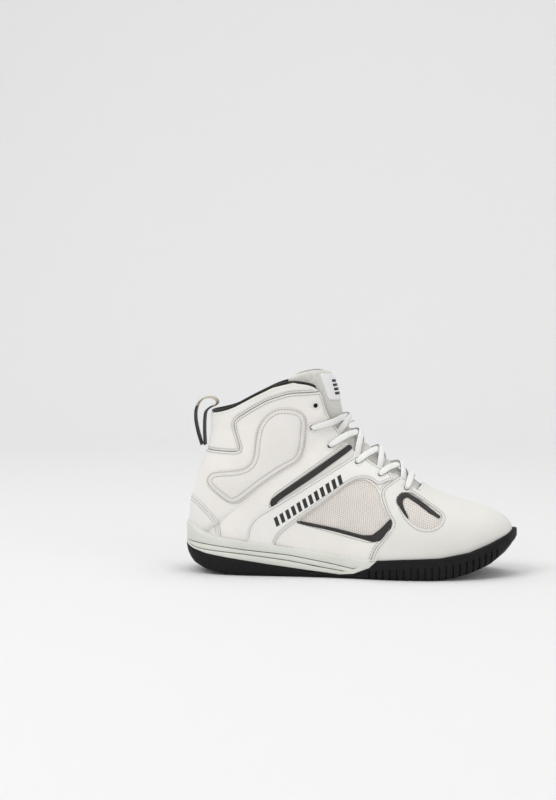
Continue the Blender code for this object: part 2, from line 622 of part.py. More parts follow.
sheet("collar_cover", "smooth_leather", collar_zone, [opening], at=COLLAR_AT, thick=LEATHER)

# ---- Tongue ------------------------------------------------------------------------------------------------
tongue = outline(TONGUE)
sheet("tongue_cover", "suede", [tongue], at=TONGUE_OUT - TONGUE_COVER, thick=TONGUE_COVER)
foam_at = TONGUE_OUT - TONGUE_COVER - GAP - TONGUE_FOAM
sheet("tongue_foam", "foam", [tongue], at=foam_at, thick=TONGUE_FOAM)
sheet("tongue_lining", "lining", [tongue], at=foam_at - GAP - TONGUE_LINING, thick=TONGUE_LINING)
sheet("tongue_label", "label", [outline(TONGUE_LABEL)], at=TONGUE_OUT + GAP, thick=LABEL)

# ---- Sole --------------------------------------------------------------------------------------------------
def plan_stations():
    """Points round the sole's edge, heel to toe on each side, and the outward direction at each."""
    turn = np.linspace(0, math.pi, SOLE_STEPS + 1)
    x = px((152 - 153) / 2) - px(305 / 2) * np.cos(turn)
    found = {}
    for side in (LATERAL, MEDIAL):
        p = np.stack([x, plan_y(x, side)], 1)
        p[0], p[-1] = (px(-153), 0), (px(152), py(6))
        along = np.gradient(p, axis=0)
        along[0], along[-1] = (0, side), (0, -side)
        along /= np.linalg.norm(along, axis=1)[:, None]
        found[side] = p, np.stack([-along[:, 1], along[:, 0]], 1) * side
    return found


EDGE = plan_stations()


def surface_tree(offset):
    points = np.vstack([layer(side, offset) for side in (LATERAL, MEDIAL)])
    faces = np.vstack([TRIANGLES, TRIANGLES + len(GRID)])
    return BVHTree.FromPolygons([Vector(p) for p in points], [tuple(map(int, f)) for f in faces])


def reach_of(tree, p, n, z, start=28.0):
    """How far inside the sole's edge a surface of the upper is, at a height (positive is inwards)."""
    origin = Vector((p[0] - n[0] * start, p[1] - n[1] * start, z))
    hit, _, _, distance = tree.ray_cast(origin, Vector((n[0], n[1], 0)))
    return start - distance if hit else None


def upper_inset(tree, side, k, heights, clearance, unknown=2.0):
    """Distances inside the sole's edge that clear a surface of the upper by a distance, at those heights."""
    (x, y), n = EDGE[side][0][k], EDGE[side][1][k]
    found = [reach_of(tree, (x, y), n, z) for z in heights]
    known = [f for f in found if f is not None]
    if not known:
        return [unknown] * len(heights)
    return [(known[0] if f is None else f) + clearance for f in found]


def ring_body(name, look, rings, collection=None):
    """Closes stacked rings into one solid. Each ring is {side: (stations, 3)}; the first and last get cap strips."""
    steps = SOLE_STEPS
    points, index = [], []
    for ring in rings:
        own = {}
        for side in (LATERAL, MEDIAL):
            for k in range(steps + 1):
                if side == MEDIAL and k in (0, steps):
                    own[side, k] = own[LATERAL, k]
                    continue
                own[side, k] = len(points)
                points.append(ring[side][k])
        index.append(own)
    faces = []
    loop = [(LATERAL, k) for k in range(steps + 1)] + [(MEDIAL, k) for k in range(steps - 1, 0, -1)]
    for low, high in zip(index[:-1], index[1:], strict=True):
        for a, b in zip(loop, loop[1:] + loop[:1], strict=True):
            faces.append((low[a], low[b], high[b], high[a]))
    for own, flip in ((index[0], True), (index[-1], False)):
        for k in range(steps):
            ends = [own[LATERAL, k], own[LATERAL, k + 1], own[MEDIAL, k + 1], own[MEDIAL, k]]
            quad = list(dict.fromkeys(ends))
            faces.append(quad[::-1] if flip else quad)
    return make(name, points, faces, look, collection)


def edge_ring(height, inset):
    """A ring of points at a distance inside the sole's edge. Height is a function of x."""
    ring = {}
    for side in (LATERAL, MEDIAL):
        p, n = EDGE[side]
        d = np.asarray([inset(side, k) for k in range(SOLE_STEPS + 1)], float)
        xy = p - n * d[:, None]
        z = np.array([height(x) for x in xy[:, 0]])
        ring[side] = np.column_stack([xy, z])
    return ring


outer_tree = surface_tree(UPPER_OUT)
leather_tree = surface_tree(LEATHER_OUT)
inner_tree = surface_tree(-LINING)


def cup_insets():
    found = {}
    for side in (LATERAL, MEDIAL):
        for k in range(SOLE_STEPS + 1):
            x, across = EDGE[side][0][k][0], EDGE[side][1][k][0]
            inset = [CUP_WALL] * CUP_LEVELS
            for _ in range(3):
                heights = []
                for level in range(CUP_LEVELS):
                    near = x - across * inset[level]
                    floor, top = side_line(CUP_FLOOR, near), side_line(CUP_TOP, near)
                    share = level / (CUP_LEVELS - 1)
                    heights.append(floor + 1.4 * (1 - share) + (max(top, floor + 3) - floor) * share)
                # The strap and the heel cover reach into the cup only behind the arch.
                tree = outer_tree if x < px(-50) else leather_tree
                inset = upper_inset(tree, side, k, heights, -CUP_GAP)
            found[side, k] = inset
    return found


insets = cup_insets()


def cup_body(name, look, collection=None):
    """The whole cup, wedge and outsole together."""

    def wall(level):
        return lambda side, k: max(insets[side, k][level], CUP_WALL)

    def height(level):
        def at(x):
            floor, top = side_line(CUP_FLOOR, x), side_line(CUP_TOP, x)
            return top if level == CUP_LEVELS - 1 else floor + (top - floor) * level / (CUP_LEVELS - 1)

        return at

    rings = [
        edge_ring(lambda x: side_line(SOLE_BOTTOM, x), lambda side, k: 5.0),
        edge_ring(lambda x: side_line(SOLE_BOTTOM, x) + 1.2, lambda side, k: 1.2),
        edge_ring(lambda x: side_line(SOLE_BOTTOM, x) + 5.0, lambda side, k: 0.0),
        edge_ring(lambda x: side_line(CUP_TOP, x) - 2.0, lambda side, k: 0.0),
        edge_ring(lambda x: side_line(CUP_TOP, x), lambda side, k: 0.6),
    ]
    rings += [edge_ring(height(level), wall(level)) for level in range(CUP_LEVELS - 1, -1, -1)]
    return ring_body(name, look, rings, collection)


def slab(name, look, xs, y_low, y_high, z_low, z_high, collection=None):
    """A flat body from its four edges, each a function of x."""
    points, faces = [], []
    for x in xs:
        for y, z in ((y_low, z_low), (y_high, z_low), (y_high, z_high), (y_low, z_high)):
            points.append((x, y(x), z(x)))
    for i in range(len(xs) - 1):
        a, b = 4 * i, 4 * i + 4
        faces += [(a + j, a + (j + 1) % 4, b + (j + 1) % 4, b + j) for j in range(4)]
    faces += [(3, 2, 1, 0), tuple(4 * (len(xs) - 1) + j for j in range(4))]
    return make(name, points, faces, look, collection)


def core_body(name, look, x0, x1, ceiling, grow=0.0, collection=None):
    """A foam block in a pocket of the outsole."""

    def low(x):
        return side_line(SOLE_BOTTOM, x) + RUBBER - grow

    def high(x):
        return side_line(ceiling, x) + (-GAP if collection is None else 3.0)

    def y_of(side):
        return lambda x: plan_y(x, side) - side * (CORE_WALL - grow)

    xs = np.linspace(px(x0) - grow, px(x1) + grow, 9)
    return slab(name, look, xs, y_of(LATERAL), y_of(MEDIAL), low, high, collection)


def plate(name, look, low, high, clearance):
    """A board that lies inside the lining."""
    room = {}
    middle = SOLE_STEPS // 2
    for side in (LATERAL, MEDIAL):
        for way in (range(middle, -1, -1), range(middle, SOLE_STEPS + 1)):
            inset = 8.0
            for k in way:
                x, across = EDGE[side][0][k][0], EDGE[side][1][k][0]
                for _ in range(3):
                    floor = side_line(CUP_FLOOR, x - across * inset)
                    heights = floor + np.linspace(max(low, 1.2), high + 1.0, 5)
                    # Past the last station where a ray meets the lining, the inset of that one is kept.
                    inset = max(upper_inset(inner_tree, side, k, heights, clearance, inset))
                room[side, k] = inset
    rings = []
    for lift in (low, high):
        rings.append(edge_ring(lambda x, up=lift: side_line(CUP_FLOOR, x) + up, lambda side, k: room[side, k]))
    return ring_body(name, look, rings)


wedge_line = outline(WEDGE_FOOT)
wedge = cup_body("midsole_wedge", "rubber_white")
above = np.vstack([moved(wedge_line, GAP / 2), outline([(28, 200), (-170, 200)])])
boolean(wedge, prism("wedge_region", above), "INTERSECT")
outsole = cup_body("outsole", "rubber_black")
region = np.vstack([moved(wedge_line, -GAP / 2), outline([(29.5, 200), (-170, 200)])])
boolean(outsole, prism("wedge_room", region), "DIFFERENCE")
heel_foot = [p for p in WEDGE_FOOT if p[0] < 0]
for piece, x0, x1, ceiling in (("heel_foam", -122, -56, heel_foot), ("forefoot_foam", 32, 96, CUP_FLOOR)):
    core_body(piece, "foam", x0, x1, ceiling)
    boolean(outsole, core_body(piece + "_room", None, x0, x1, ceiling, GAP, cutters), "DIFFERENCE")

board = plate("insole_board", "board", GAP, GAP + BOARD, BOARD_GAP)


def shank_bar(name, look, grow, low, high, collection=None):
    xs = np.linspace(px(-45) - SHANK_LENGTH / 2 - grow, px(-45) + SHANK_LENGTH / 2 + grow, 9)
    half = SHANK_WIDTH / 2 + grow
    top = GAP + BOARD
    z = [lambda x, up=up: side_line(CUP_FLOOR, x) + top + up for up in (low, high)]
    return slab(name, look, xs, lambda x: -half, lambda x: half, *z, collection)


shank_bar("shank", "steel", 0.0, -SHANK - 0.1, -0.1)
boolean(board, shank_bar("shank_room", None, GAP, -SHANK - 0.1 - GAP, 4, cutters), "DIFFERENCE")
plate("sockliner", "lining", 2 * GAP + BOARD, 2 * GAP + BOARD + SOCKLINER, SOCKLINER_GAP)

# ---- Lace --------------------------------------------------------------------------------------------------
LACE_OVER = UPPER_OUT + GAP + 0.25 + LACE_RADIUS
LACE_UNDER = BACKING_AT - GAP - LACE_RADIUS


def throat_point(eyelet):
    """The nominal point of the throat's edge nearest to an eyelet."""
    p = np.asarray(THROAT_EDGE, float)
    best = None
    for a, b in zip(p[:-1], p[1:], strict=True):
        t = np.clip(np.dot(eyelet - a, b - a) / np.dot(b - a, b - a), 0, 1)
        q = a + (b - a) * t
        if best is None or np.linalg.norm(q - eyelet) < np.linalg.norm(best - eyelet):
            best = q
    return best


def along_upper(start, direction, distance, side, offset):
    """A point reached from one on the upper by moving a distance along the surface."""
    near = on_upper(*(start + direction * 0.5), side, 0) - on_upper(*start, side, 0)
    return on_upper(*(start + direction * 0.5 * distance / np.linalg.norm(near)), side, offset)


def towards_throat(row):
    eyelet = np.array(EYELETS[row], float)
    edge = throat_point(eyelet)
    return eyelet, edge, (edge - eyelet) / np.linalg.norm(edge - eyelet)


def strand(start_side, row, lift):
    """From the top of one eyelet down, under the edge, over the tongue and over the far edge to the next row."""
    e0, t0, n0 = towards_throat(row)
    e1, t1, n1 = towards_throat(row + 1)
    other = -start_side
    out = [on_upper(*e0, start_side, o) for o in (LACE_OVER - 0.5, UPPER_OUT - 0.6, LACE_UNDER + 1.2)]
    out.append(along_upper(e0, n0, 1.3, start_side, LACE_UNDER))
    out.append(along_upper(t0, n0, 0.6, start_side, LACE_UNDER + 0.1))
    first = along_upper(t0, n0, 4.0, start_side, LACE_UNDER + 0.6)
    over = along_upper(t1, n1, 1.6, other, LACE_OVER)
    out.append(first)
    for step in range(1, 6):
        share = step / 6
        p = first + (over - first) * share
        q, normal, *_ = tongue_tree.find_nearest(Vector(p))
        q, normal = np.array(q), np.array(normal)
        normal *= np.sign(normal @ np.array([40.0, p[1], p[2] - 60]))
        crossing = max(0, 1 - 3 * abs(share - 0.5))
        out.append(q + normal * (LACE_RADIUS + 1.4 + 8.0 * share**2.5 + lift * crossing))
    out.append(over)
    out.append(along_upper(e1, n1, 1.4, other, LACE_OVER))
    return out


tongue_tree = surface_tree(TONGUE_OUT)
route = {}
for start in (LATERAL, MEDIAL):
    path, here = [], start
    for row in range(LACED - 1):
        over_top = (row % 2 == 0) == (start == LATERAL)
        path += strand(here, row, 2.9 if over_top else 0.0)
        here = -here
    e = np.array(EYELETS[LACED - 1], float)
    path += [on_upper(*e, here, o) for o in (LACE_OVER - 0.5, UPPER_OUT - 0.6, LACE_UNDER + 1.2)]
    route[start] = path, here
e, t, n = towards_throat(0)
bar = [along_upper(e, n, 1.4, side, LACE_OVER) for side in (LATERAL, MEDIAL)]
across = []
for step in range(1, 8):
    p = bar[0] + (bar[1] - bar[0]) * step / 8
    q, normal, *_ = outer_tree.find_nearest(Vector(p))
    normal = np.array(normal) * np.sign(np.array(normal)[2])
    across.append(np.array(q) + normal * (GAP + LACE_RADIUS + 0.4))
points = route[LATERAL][0][::-1] + [bar[0]] + across + [bar[1]] + route[MEDIAL][0]
tucked = {side: [on_upper(x, z, side, LACE_UNDER - 0.25) for x, z in LACE_TUCK] for side in (LATERAL, MEDIAL)}
points = tucked[LATERAL][::-1] + points + tucked[MEDIAL]


def cord(name, points, radius, look, resolution=1):
    curve = bpy.data.curves.new(name, "CURVE")
    curve.dimensions = "3D"
    curve.bevel_depth = radius * 0.001
    curve.bevel_resolution = resolution
    curve.use_fill_caps = True
    spline = curve.splines.new("POLY")
    spline.points.add(len(points) - 1)
    for point, p in zip(spline.points, points, strict=True):
        point.co = (*(np.asarray(p, float) / 1000), 1)
    source = bpy.data.objects.new(name + "_route", curve)
    bpy.context.scene.collection.objects.link(source)
    bpy.context.view_layer.update()
    graph = bpy.context.evaluated_depsgraph_get()
    mesh = bpy.data.meshes.new_from_object(source.evaluated_get(graph))
    vertices = [tuple(v.co * 1000) for v in mesh.vertices]
    faces = [tuple(p.vertices) for p in mesh.polygons]
    bpy.data.objects.remove(source)
    bpy.data.curves.remove(curve)
    bpy.data.meshes.remove(mesh)
    return make(name, vertices, faces, look)


cord("lace", points, LACE_RADIUS, "lace")
for name, side in SIDES.items():
    start = tucked[side][-1]
    direction = on_upper(*TUCKED_TOWARDS, side, LACE_UNDER - 0.3) - start
    direction /= np.linalg.norm(direction)
    cord(f"aglet_{name}", [start + direction * GAP, start + direction * AGLET_LENGTH], AGLET_RADIUS, "aglet")

# ---- Pull loop ---------------------------------------------------------------------------------------------
line = through(outline(LOOP_LINE), 2)
ribbon = np.vstack([moved(line, WEBBING / 2), moved(line, -WEBBING / 2)[::-1]])
count = len(line)
points = [(x, y, z) for y in (-WEBBING_WIDTH / 2, WEBBING_WIDTH / 2) for x, z in ribbon]
faces = []
for i in range(count - 1):
    faces.append((i, i + 1, 2 * count - 2 - i, 2 * count - 1 - i))
    faces.append(tuple(2 * count + v for v in faces[-1][::-1]))
for i in range(2 * count):
    j = (i + 1) % (2 * count)
    faces.append((j, i, 2 * count + i, 2 * count + j))
make("pull_loop", points, faces, "webbing")
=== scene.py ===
"""Looks of a laced high top shoe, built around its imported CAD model.

X points to the toe, -Y to the lateral side that faces the camera, Z up. Shapes are worked out in
millimetres on the same last as the CAD's, and become metres where a mesh is made.
"""

import math

import bmesh
import bpy
import numpy as np
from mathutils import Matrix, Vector
from mathutils.bvhtree import BVHTree
from mathutils.geometry import delaunay_2d_cdt
from mathutils.kdtree import KDTree


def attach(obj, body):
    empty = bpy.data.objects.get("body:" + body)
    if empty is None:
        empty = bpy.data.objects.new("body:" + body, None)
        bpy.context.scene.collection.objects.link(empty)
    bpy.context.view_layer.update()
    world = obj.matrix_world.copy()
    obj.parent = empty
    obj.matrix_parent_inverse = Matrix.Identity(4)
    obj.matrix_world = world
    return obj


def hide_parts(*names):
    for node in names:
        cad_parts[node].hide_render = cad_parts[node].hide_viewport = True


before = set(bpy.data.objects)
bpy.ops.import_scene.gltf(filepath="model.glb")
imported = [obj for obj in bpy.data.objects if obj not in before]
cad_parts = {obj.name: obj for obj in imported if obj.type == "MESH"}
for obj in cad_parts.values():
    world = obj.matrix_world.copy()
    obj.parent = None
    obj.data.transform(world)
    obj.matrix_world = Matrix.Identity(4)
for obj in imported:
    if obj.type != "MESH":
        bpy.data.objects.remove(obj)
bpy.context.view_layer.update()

LATERAL, MEDIAL = -1, 1
BOTH = (LATERAL, MEDIAL)
SIDES = {"lateral": LATERAL, "medial": MEDIAL}
FINE = 2.0  # spacing of the upper's surface points

# ---- The last and the pattern, as in the CAD -----------------------------
PLAN = {
    LATERAL: [
        (-153, 0), (-150.6, -15), (-143, -28), (-126, -37.4), (-97, -40.6), (-62, -40.8), (-28, -42),
        (5, -46), (35, -51.5), (62, -52.5), (90, -49), (114, -41), (132, -30), (144, -16.5), (150, -3.5),
        (152, 6),
    ],
    MEDIAL: [
        (-153, 0), (-150.6, 15), (-143, 27.5), (-126, 36.6), (-97, 38.8), (-62, 38.4), (-28, 38.2), (5, 41),
        (35, 46), (62, 50.5), (80, 51.5), (100, 50), (120, 44.5), (135, 36), (145, 25), (150.5, 14.5),
        (152, 6),
    ],
}  # fmt: skip
SOLE_BOTTOM = [
    (-155, 24), (-150, 16), (-143, 9.5), (-130, 4.2), (-113, 1.2), (-92, 0), (76, 0), (93, 1.8), (107, 5),
    (118, 8.6), (128, 13), (141, 22), (150, 30), (155, 34.5),
]  # fmt: skip
CUP_FLOOR = [
    (-155, 21.4), (-120, 20.6), (-71, 17), (-20, 12), (12, 10), (66, 9), (90, 9.8), (111, 13.6), (129, 20.6),
    (144, 30.5), (155, 39),
]  # fmt: skip
CUP_TOP = [
    (-155, 47), (-145, 43.5), (-137, 39), (-115, 34), (-71, 29), (-13, 21.5), (14, 18), (27, 17.5), (48, 19),
    (84, 20.5), (111, 25), (128, 31.2), (142, 37.6), (149, 41.4), (155, 43.5),
]  # fmt: skip
WEDGE_FOOT = [
    (-170, 31), (-155, 27), (-144, 23), (-130, 19.5), (-107, 16), (-71, 11), (-36, 6.6), (-7, 3.6), (6, 4.6),
    (20, 10.5), (27, 17), (29, 60),
]  # fmt: skip
# Each ring of the last: its point on the ridge (x, z) and on the feather line or heel (x, z), its lateral
# and medial half widths, the ridge's y, the share of the way down where it is widest, and two roundnesses
STATIONS = [
    (145.0, 39.0, 144.2, 33.8, 4.6, 4.6, 6.0, 0.60, 2.2, 2.5),
    (144.6, 43.2, 143.2, 31.6, 12.6, 11.6, 6.0, 0.60, 2.2, 2.5),
    (140.0, 50.5, 138.5, 26.0, 21, 19, 5.8, 0.62, 2.2, 2.5),
    (129.5, 56.0, 128.5, 20.5, 30.5, 28, 5.4, 0.64, 2.2, 2.5),
    (112.0, 61.8, 110.5, 14.0, 39.5, 36.5, 4.6, 0.66, 2.2, 2.5),
    (92.0, 67.6, 89.5, 10.2, 45.5, 41.5, 3.4, 0.66, 2.2, 2.5),
    (72.0, 74.5, 66.0, 9.6, 48.0, 43.3, 2.2, 0.66, 2.1, 2.5),
    (56.0, 87.5, 41.0, 9.8, 47.5, 40.5, 1.2, 0.66, 2.0, 2.5),
    (41.0, 99.5, 12.0, 10.6, 42.5, 35.5, 0.5, 0.64, 2.0, 2.5),
    (26.5, 110.5, -20.0, 12.8, 38.0, 33.0, 0.0, 0.62, 2.0, 2.6),
    (14.5, 120.5, -56.0, 16.5, 34.8, 31.6, 0.0, 0.58, 2.0, 2.8),
    (6.0, 128.5, -93.0, 19.2, 33.4, 31.4, 0.0, 0.55, 2.0, 3.0),
    (0.8, 134.5, -122.0, 21.4, 33.5, 32.0, 0.0, 0.52, 2.0, 3.2),
    (-2.2, 139.5, -140.0, 23.0, 33.0, 32.0, 0.0, 0.50, 2.0, 2.7),
    (-4.2, 144.5, -146.0, 33.0, 33.0, 32.5, 0.0, 0.50, 2.0, 2.5),
    (-5.6, 150.0, -146.4, 55.0, 33.5, 33.0, 0.0, 0.50, 2.1, 2.5),
    (-7.0, 157.0, -143.0, 78.0, 33.5, 33.5, 0.0, 0.52, 2.1, 2.5),
    (-8.8, 165.0, -135.5, 100.0, 33.0, 33.0, 0.0, 0.52, 2.1, 2.6),
    (-11.0, 173.0, -127.0, 120.0, 32.5, 32.5, 0.0, 0.52, 2.1, 2.6),
    (-14.0, 181.0, -124.6, 136.0, 33.0, 33.0, 0.0, 0.52, 2.1, 2.6),
    (-17.5, 190.0, -128.5, 152.0, 34.0, 34.0, 0.0, 0.52, 2.1, 2.6),
    (-21.0, 200.0, -134.0, 168.0, 35.5, 35.5, 0.0, 0.52, 2.1, 2.6),
]  # fmt: skip
LAST_FEATHER, HEEL_SEAM = 13.3, 13.7  # stations where the sole ends and the heel's back begins
FOOT_ROOM = {True: 6.4, False: 7.95}  # from the sole's edge to the feather line, ahead of x 30 and behind it
FEATHER_UP, TOE_LIFT, TOE_SLIT = 0.65, 2.4, 4.0
TOE_FROM, TOE_RAMP = 98, 24  # where the feather line starts to lift at the toe, and over what length

# Distances outside the last
NET_IN, NET_OUT = 0.35, 1.5
LEATHER_IN, LEATHER_OUT = 1.45, 3.1
OVERLAY_IN, OVERLAY_OUT = 3.1, 4.6


def bspline(rows, at):
    rows = np.asarray(rows, float)
    padded = np.vstack([2 * rows[0] - rows[1], rows, 2 * rows[-1] - rows[-2]])
    at = np.clip(np.asarray(at, float), 0, len(rows) - 1)
    i = np.minimum(at.astype(int), len(rows) - 2)
    u = (at - i)[..., None]
    weights = ((1 - u) ** 3, 3 * u**3 - 6 * u**2 + 4, -3 * u**3 + 3 * u**2 + 3 * u + 1, u**3)
    return sum(w * padded[i + k] for k, w in enumerate(weights)) / 6


def through(points, steps, closed=False):
    """A smooth curve through all the points (Catmull-Rom)."""
    p = np.asarray(points, float)
    p = np.vstack([p[-1], p, p[0], p[1]]) if closed else np.vstack([2 * p[0] - p[1], p, 2 * p[-1] - p[-2]])
    u = np.linspace(0, 1, steps, endpoint=False)[:, None]
    spans = []
    for a, b, c, d in zip(p[:-3], p[1:-2], p[2:-1], p[3:], strict=True):
        bend = (2 * a - 5 * b + 4 * c - d) * u**2 + (3 * b - a - 3 * c + d) * u**3
        spans.append(0.5 * (2 * b + (c - a) * u + bend))
    return np.vstack(spans if closed else [*spans, p[-2:-1]])


def side_line(points, x):
    p = np.asarray(points, float)
    return np.interp(x, p[:, 0], p[:, 1])


def plan_y(x, side):
    p = through(PLAN[side], 4)
    return np.interp(x, p[:, 0], p[:, 1])


def section(at, angle):
    """Points on the last. `at` counts stations, and angle runs from -180 (lateral) over 0 (ridge) to 180."""
    at, angle = np.broadcast_arrays(np.asarray(at, float), np.asarray(angle, float))
    row = bspline(STATIONS, at)
    fx, fz, bx, bz, lateral, medial, ridge, widest, front, back = (row[..., k] for k in range(10))
    on_feather = np.clip((HEEL_SEAM - at) / (HEEL_SEAM - LAST_FEATHER), 0, 1)
    lift = FEATHER_UP + TOE_LIFT * np.clip((bx - TOE_FROM) / TOE_RAMP, 0, 1)
    bz = np.where(at < LAST_FEATHER, np.maximum(bz, side_line(CUP_FLOOR, bx) + lift), bz)
    side = np.where(angle < 0, LATERAL, MEDIAL)
    share = (1 - np.cos(np.radians(np.abs(angle)))) / 2
    room = np.where(bx > 30, FOOT_ROOM[True], FOOT_ROOM[False])
    reach = bx + np.clip(bx / 100, -1, 1) * room
    edge = np.where(side == LATERAL, plan_y(reach, LATERAL), plan_y(reach, MEDIAL))
    foot = np.maximum(side * (edge - ridge) - room, TOE_SLIT) * on_feather
    half = np.maximum(np.where(side == LATERAL, lateral, medial), foot * 1.01)
    rise = np.clip(share / widest, 0, 1)
    fall = np.clip((share - widest) / (1 - widest), 0, 1)
    before = half * (1 - (1 - rise) ** front) ** (1 / front)
    after_foot = foot + (half - foot) * (1 - fall**back)
    after_heel = half * (1 - fall**back) ** (1 / back)
    after = after_foot * on_feather + after_heel * (1 - on_feather)
    y = ridge + side * np.where(share < widest, before, after)
    return np.stack([fx + (bx - fx) * share, y, fz + (bz - fz) * share], -1)


def unit(v):
    return v / np.maximum(np.linalg.norm(v, axis=-1, keepdims=True), 1e-12)


def normal_at(at, angle):
    at, angle = np.broadcast_arrays(np.asarray(at, float), np.asarray(angle, float))
    around = section(at, np.minimum(angle + 3, 180)) - section(at, np.maximum(angle - 3, -180))
    along = section(np.minimum(at + 0.1, len(STATIONS) - 1), angle) - section(np.maximum(at - 0.1, 0), angle)
    across = section(at, np.full(at.shape, -177.0)) - section(at, np.full(at.shape, 177.0))
    back_seam = (np.abs(angle) > 179.5) & (at >= HEEL_SEAM)
    around = np.where(back_seam[..., None], across, around)
    normal = np.cross(around, along)
    normal[..., 1] = np.where(back_seam | (angle == 0), 0, normal[..., 1])
    on_cup = (np.abs(angle) > 150) & (at < HEEL_SEAM)
    normal[..., 2] = np.where(on_cup, np.maximum(normal[..., 2], 0), normal[..., 2])
    return unit(normal)


def last(at, angle, offset=0.0):
    """Points at a distance outside the last."""
    return section(at, angle) + normal_at(at, angle) * np.asarray(offset, float)[..., None]


# ---- Side view to surface ------------------------------------------------
TABLE_AT = np.linspace(0, len(STATIONS) - 1, 1500)
TABLE_F = section(TABLE_AT, 0.0)[:, [0, 2]]
TABLE_B = section(TABLE_AT, 180.0)[:, [0, 2]]


def locate(points):
    """(station, angle from 0 to 180) of points of the side view."""
    points = np.asarray(points, float)
    found_at, found_angle = [], []
    d = TABLE_B - TABLE_F
    dd = (d * d).sum(1)
    for start in range(0, len(points), 800):
        r = points[start : start + 800, None, :] - TABLE_F[None]
        cross = (d[:, 0] * r[..., 1] - d[:, 1] * r[..., 0]) / np.sqrt(dd)
        share = (r * d).sum(-1) / dd
        middle = (share[:, 1:] + share[:, :-1]) / 2
        off = np.maximum(np.maximum(-middle, middle - 1), 0)
        least = np.minimum(np.abs(cross[:, 1:]), np.abs(cross[:, :-1]))
        miss = np.where(cross[:, 1:] * cross[:, :-1] <= 0, 0, least)
        best = (miss + off * 150).argmin(1)
        rows = np.arange(len(best))
        c0, c1 = cross[rows, best], cross[rows, best + 1]
        t = np.clip(np.where(np.abs(c0 - c1) > 1e-9, c0 / np.where(c0 == c1, 1, c0 - c1), 0), 0, 1)
        found_at.append(TABLE_AT[best] + t * (TABLE_AT[1] - TABLE_AT[0]))
        s = share[rows, best] * (1 - t) + share[rows, best + 1] * t
        found_angle.append(np.degrees(np.arccos(1 - 2 * np.clip(s, 0, 1))))
    return np.concatenate(found_at), np.concatenate(found_angle)


def slopes(at, angle):
    """How a point of the lateral side moves for each station and each degree."""
    a1, a0 = np.minimum(at + 0.05, len(STATIONS) - 1), np.maximum(at - 0.05, 0)
    pa = (section(a1, -angle) - section(a0, -angle)) / (a1 - a0)[..., None]
    low = np.clip(angle - 0.5, 0, 179)
    pb = section(at, -(low + 1)) - section(at, -low)
    return pa, pb


def stepped(at, angle, v):
    """The place reached from another by a small move along the surface."""
    pa, pb = slopes(at, angle)
    aa, ab, bb = (pa * pa).sum(-1), (pa * pb).sum(-1), (pb * pb).sum(-1)
    va, vb = (pa * v).sum(-1), (pb * v).sum(-1)
    det = np.maximum(aa * bb - ab * ab, 1e-9)
    return at + (va * bb - vb * ab) / det, angle + (vb * aa - va * ab) / det


def inwards(at, angle, closed=True):
    """The direction to the left of a line on the lateral side, along the surface."""
    p = section(at, -angle)
    if closed:
        t = np.roll(p, -1, 0) - np.roll(p, 1, 0)
    else:
        t = np.gradient(p, axis=0)
    pa, pb = slopes(at, angle)
    return unit(np.cross(unit(np.cross(pa, pb)), unit(t)))


def inside(points, polygons):
    """Even-odd test against several closed lines together."""
    x, z = points[:, 0], points[:, 1]
    found = np.zeros(len(points), bool)
    for polygon in polygons:
        for (x0, z0), (x1, z1) in zip(polygon, np.roll(polygon, -1, 0), strict=True):
            if z0 != z1:
                found ^= ((z0 > z) != (z1 > z)) & (x < (x1 - x0) * (z - z0) / (z1 - z0) + x0)
    return found


def resample(p, step, closed):
    p = np.asarray(p, float)
    if closed:
        p = np.vstack([p, p[:1]])
    length = np.concatenate([[0], np.cumsum(np.linalg.norm(np.diff(p, axis=0), axis=1))])
    count = max(int(round(length[-1] / step)), 3)
    at = np.linspace(0, length[-1], count + 1)[: None if not closed else -1]
    return np.stack([np.interp(at, length, p[:, k]) for k in range(p.shape[1])], 1)


def rounded(points, radius=4.0, step=1.3, closed=True):
    """An outline with round corners, in even steps."""
    p = np.asarray(points, float)
    out = []
    for i in range(len(p)):
        if not closed and i in (0, len(p) - 1):
            out.append(p[i : i + 1])
            continue
        a, b, c = p[i - 1], p[i], p[(i + 1) % len(p)]
        la, lc = np.linalg.norm(a - b), np.linalg.norm(c - b)
        s, e = b + (a - b) * min(radius / la, 0.49), b + (c - b) * min(radius / lc, 0.49)
        u = np.linspace(0, 1, 7)[:, None]
        out.append((1 - u) ** 2 * s + 2 * u * (1 - u) * b + u * u * e)
    return resample(np.vstack(out), step, closed)


def moved(line, distance):
    """An open line moved to its left."""
    p = np.asarray(line, float)
    along = unit(np.gradient(p, axis=0))
    return p + np.stack([-along[:, 1], along[:, 0]], 1) * distance


def hole(x, z, radius, count=14):
    """The outline of a round hole, in the side view."""
    at, angle = locate([(x, z)])
    at, angle = np.full(count, at[0]), np.full(count, angle[0])
    normal = normal_at(at, -angle)
    first = unit(np.cross(normal, (0, 1.0, 0)))
    second = np.cross(normal, first)
    turn = np.linspace(0, 2 * math.pi, count, endpoint=False)[:, None]
    a, b = stepped(at, angle, radius * (np.cos(turn) * first + np.sin(turn) * second))
    return section(a, -b)[:, [0, 2]]


def ring_stations():
    """Stations about FINE apart."""
    gap = np.max([np.linalg.norm(np.diff(table, axis=0), axis=1) for table in (TABLE_F, TABLE_B)], axis=0)
    length = np.concatenate([[0], np.cumsum(gap)])
    return np.interp(np.linspace(0, length[-1], int(length[-1] / FINE)), length, TABLE_AT)


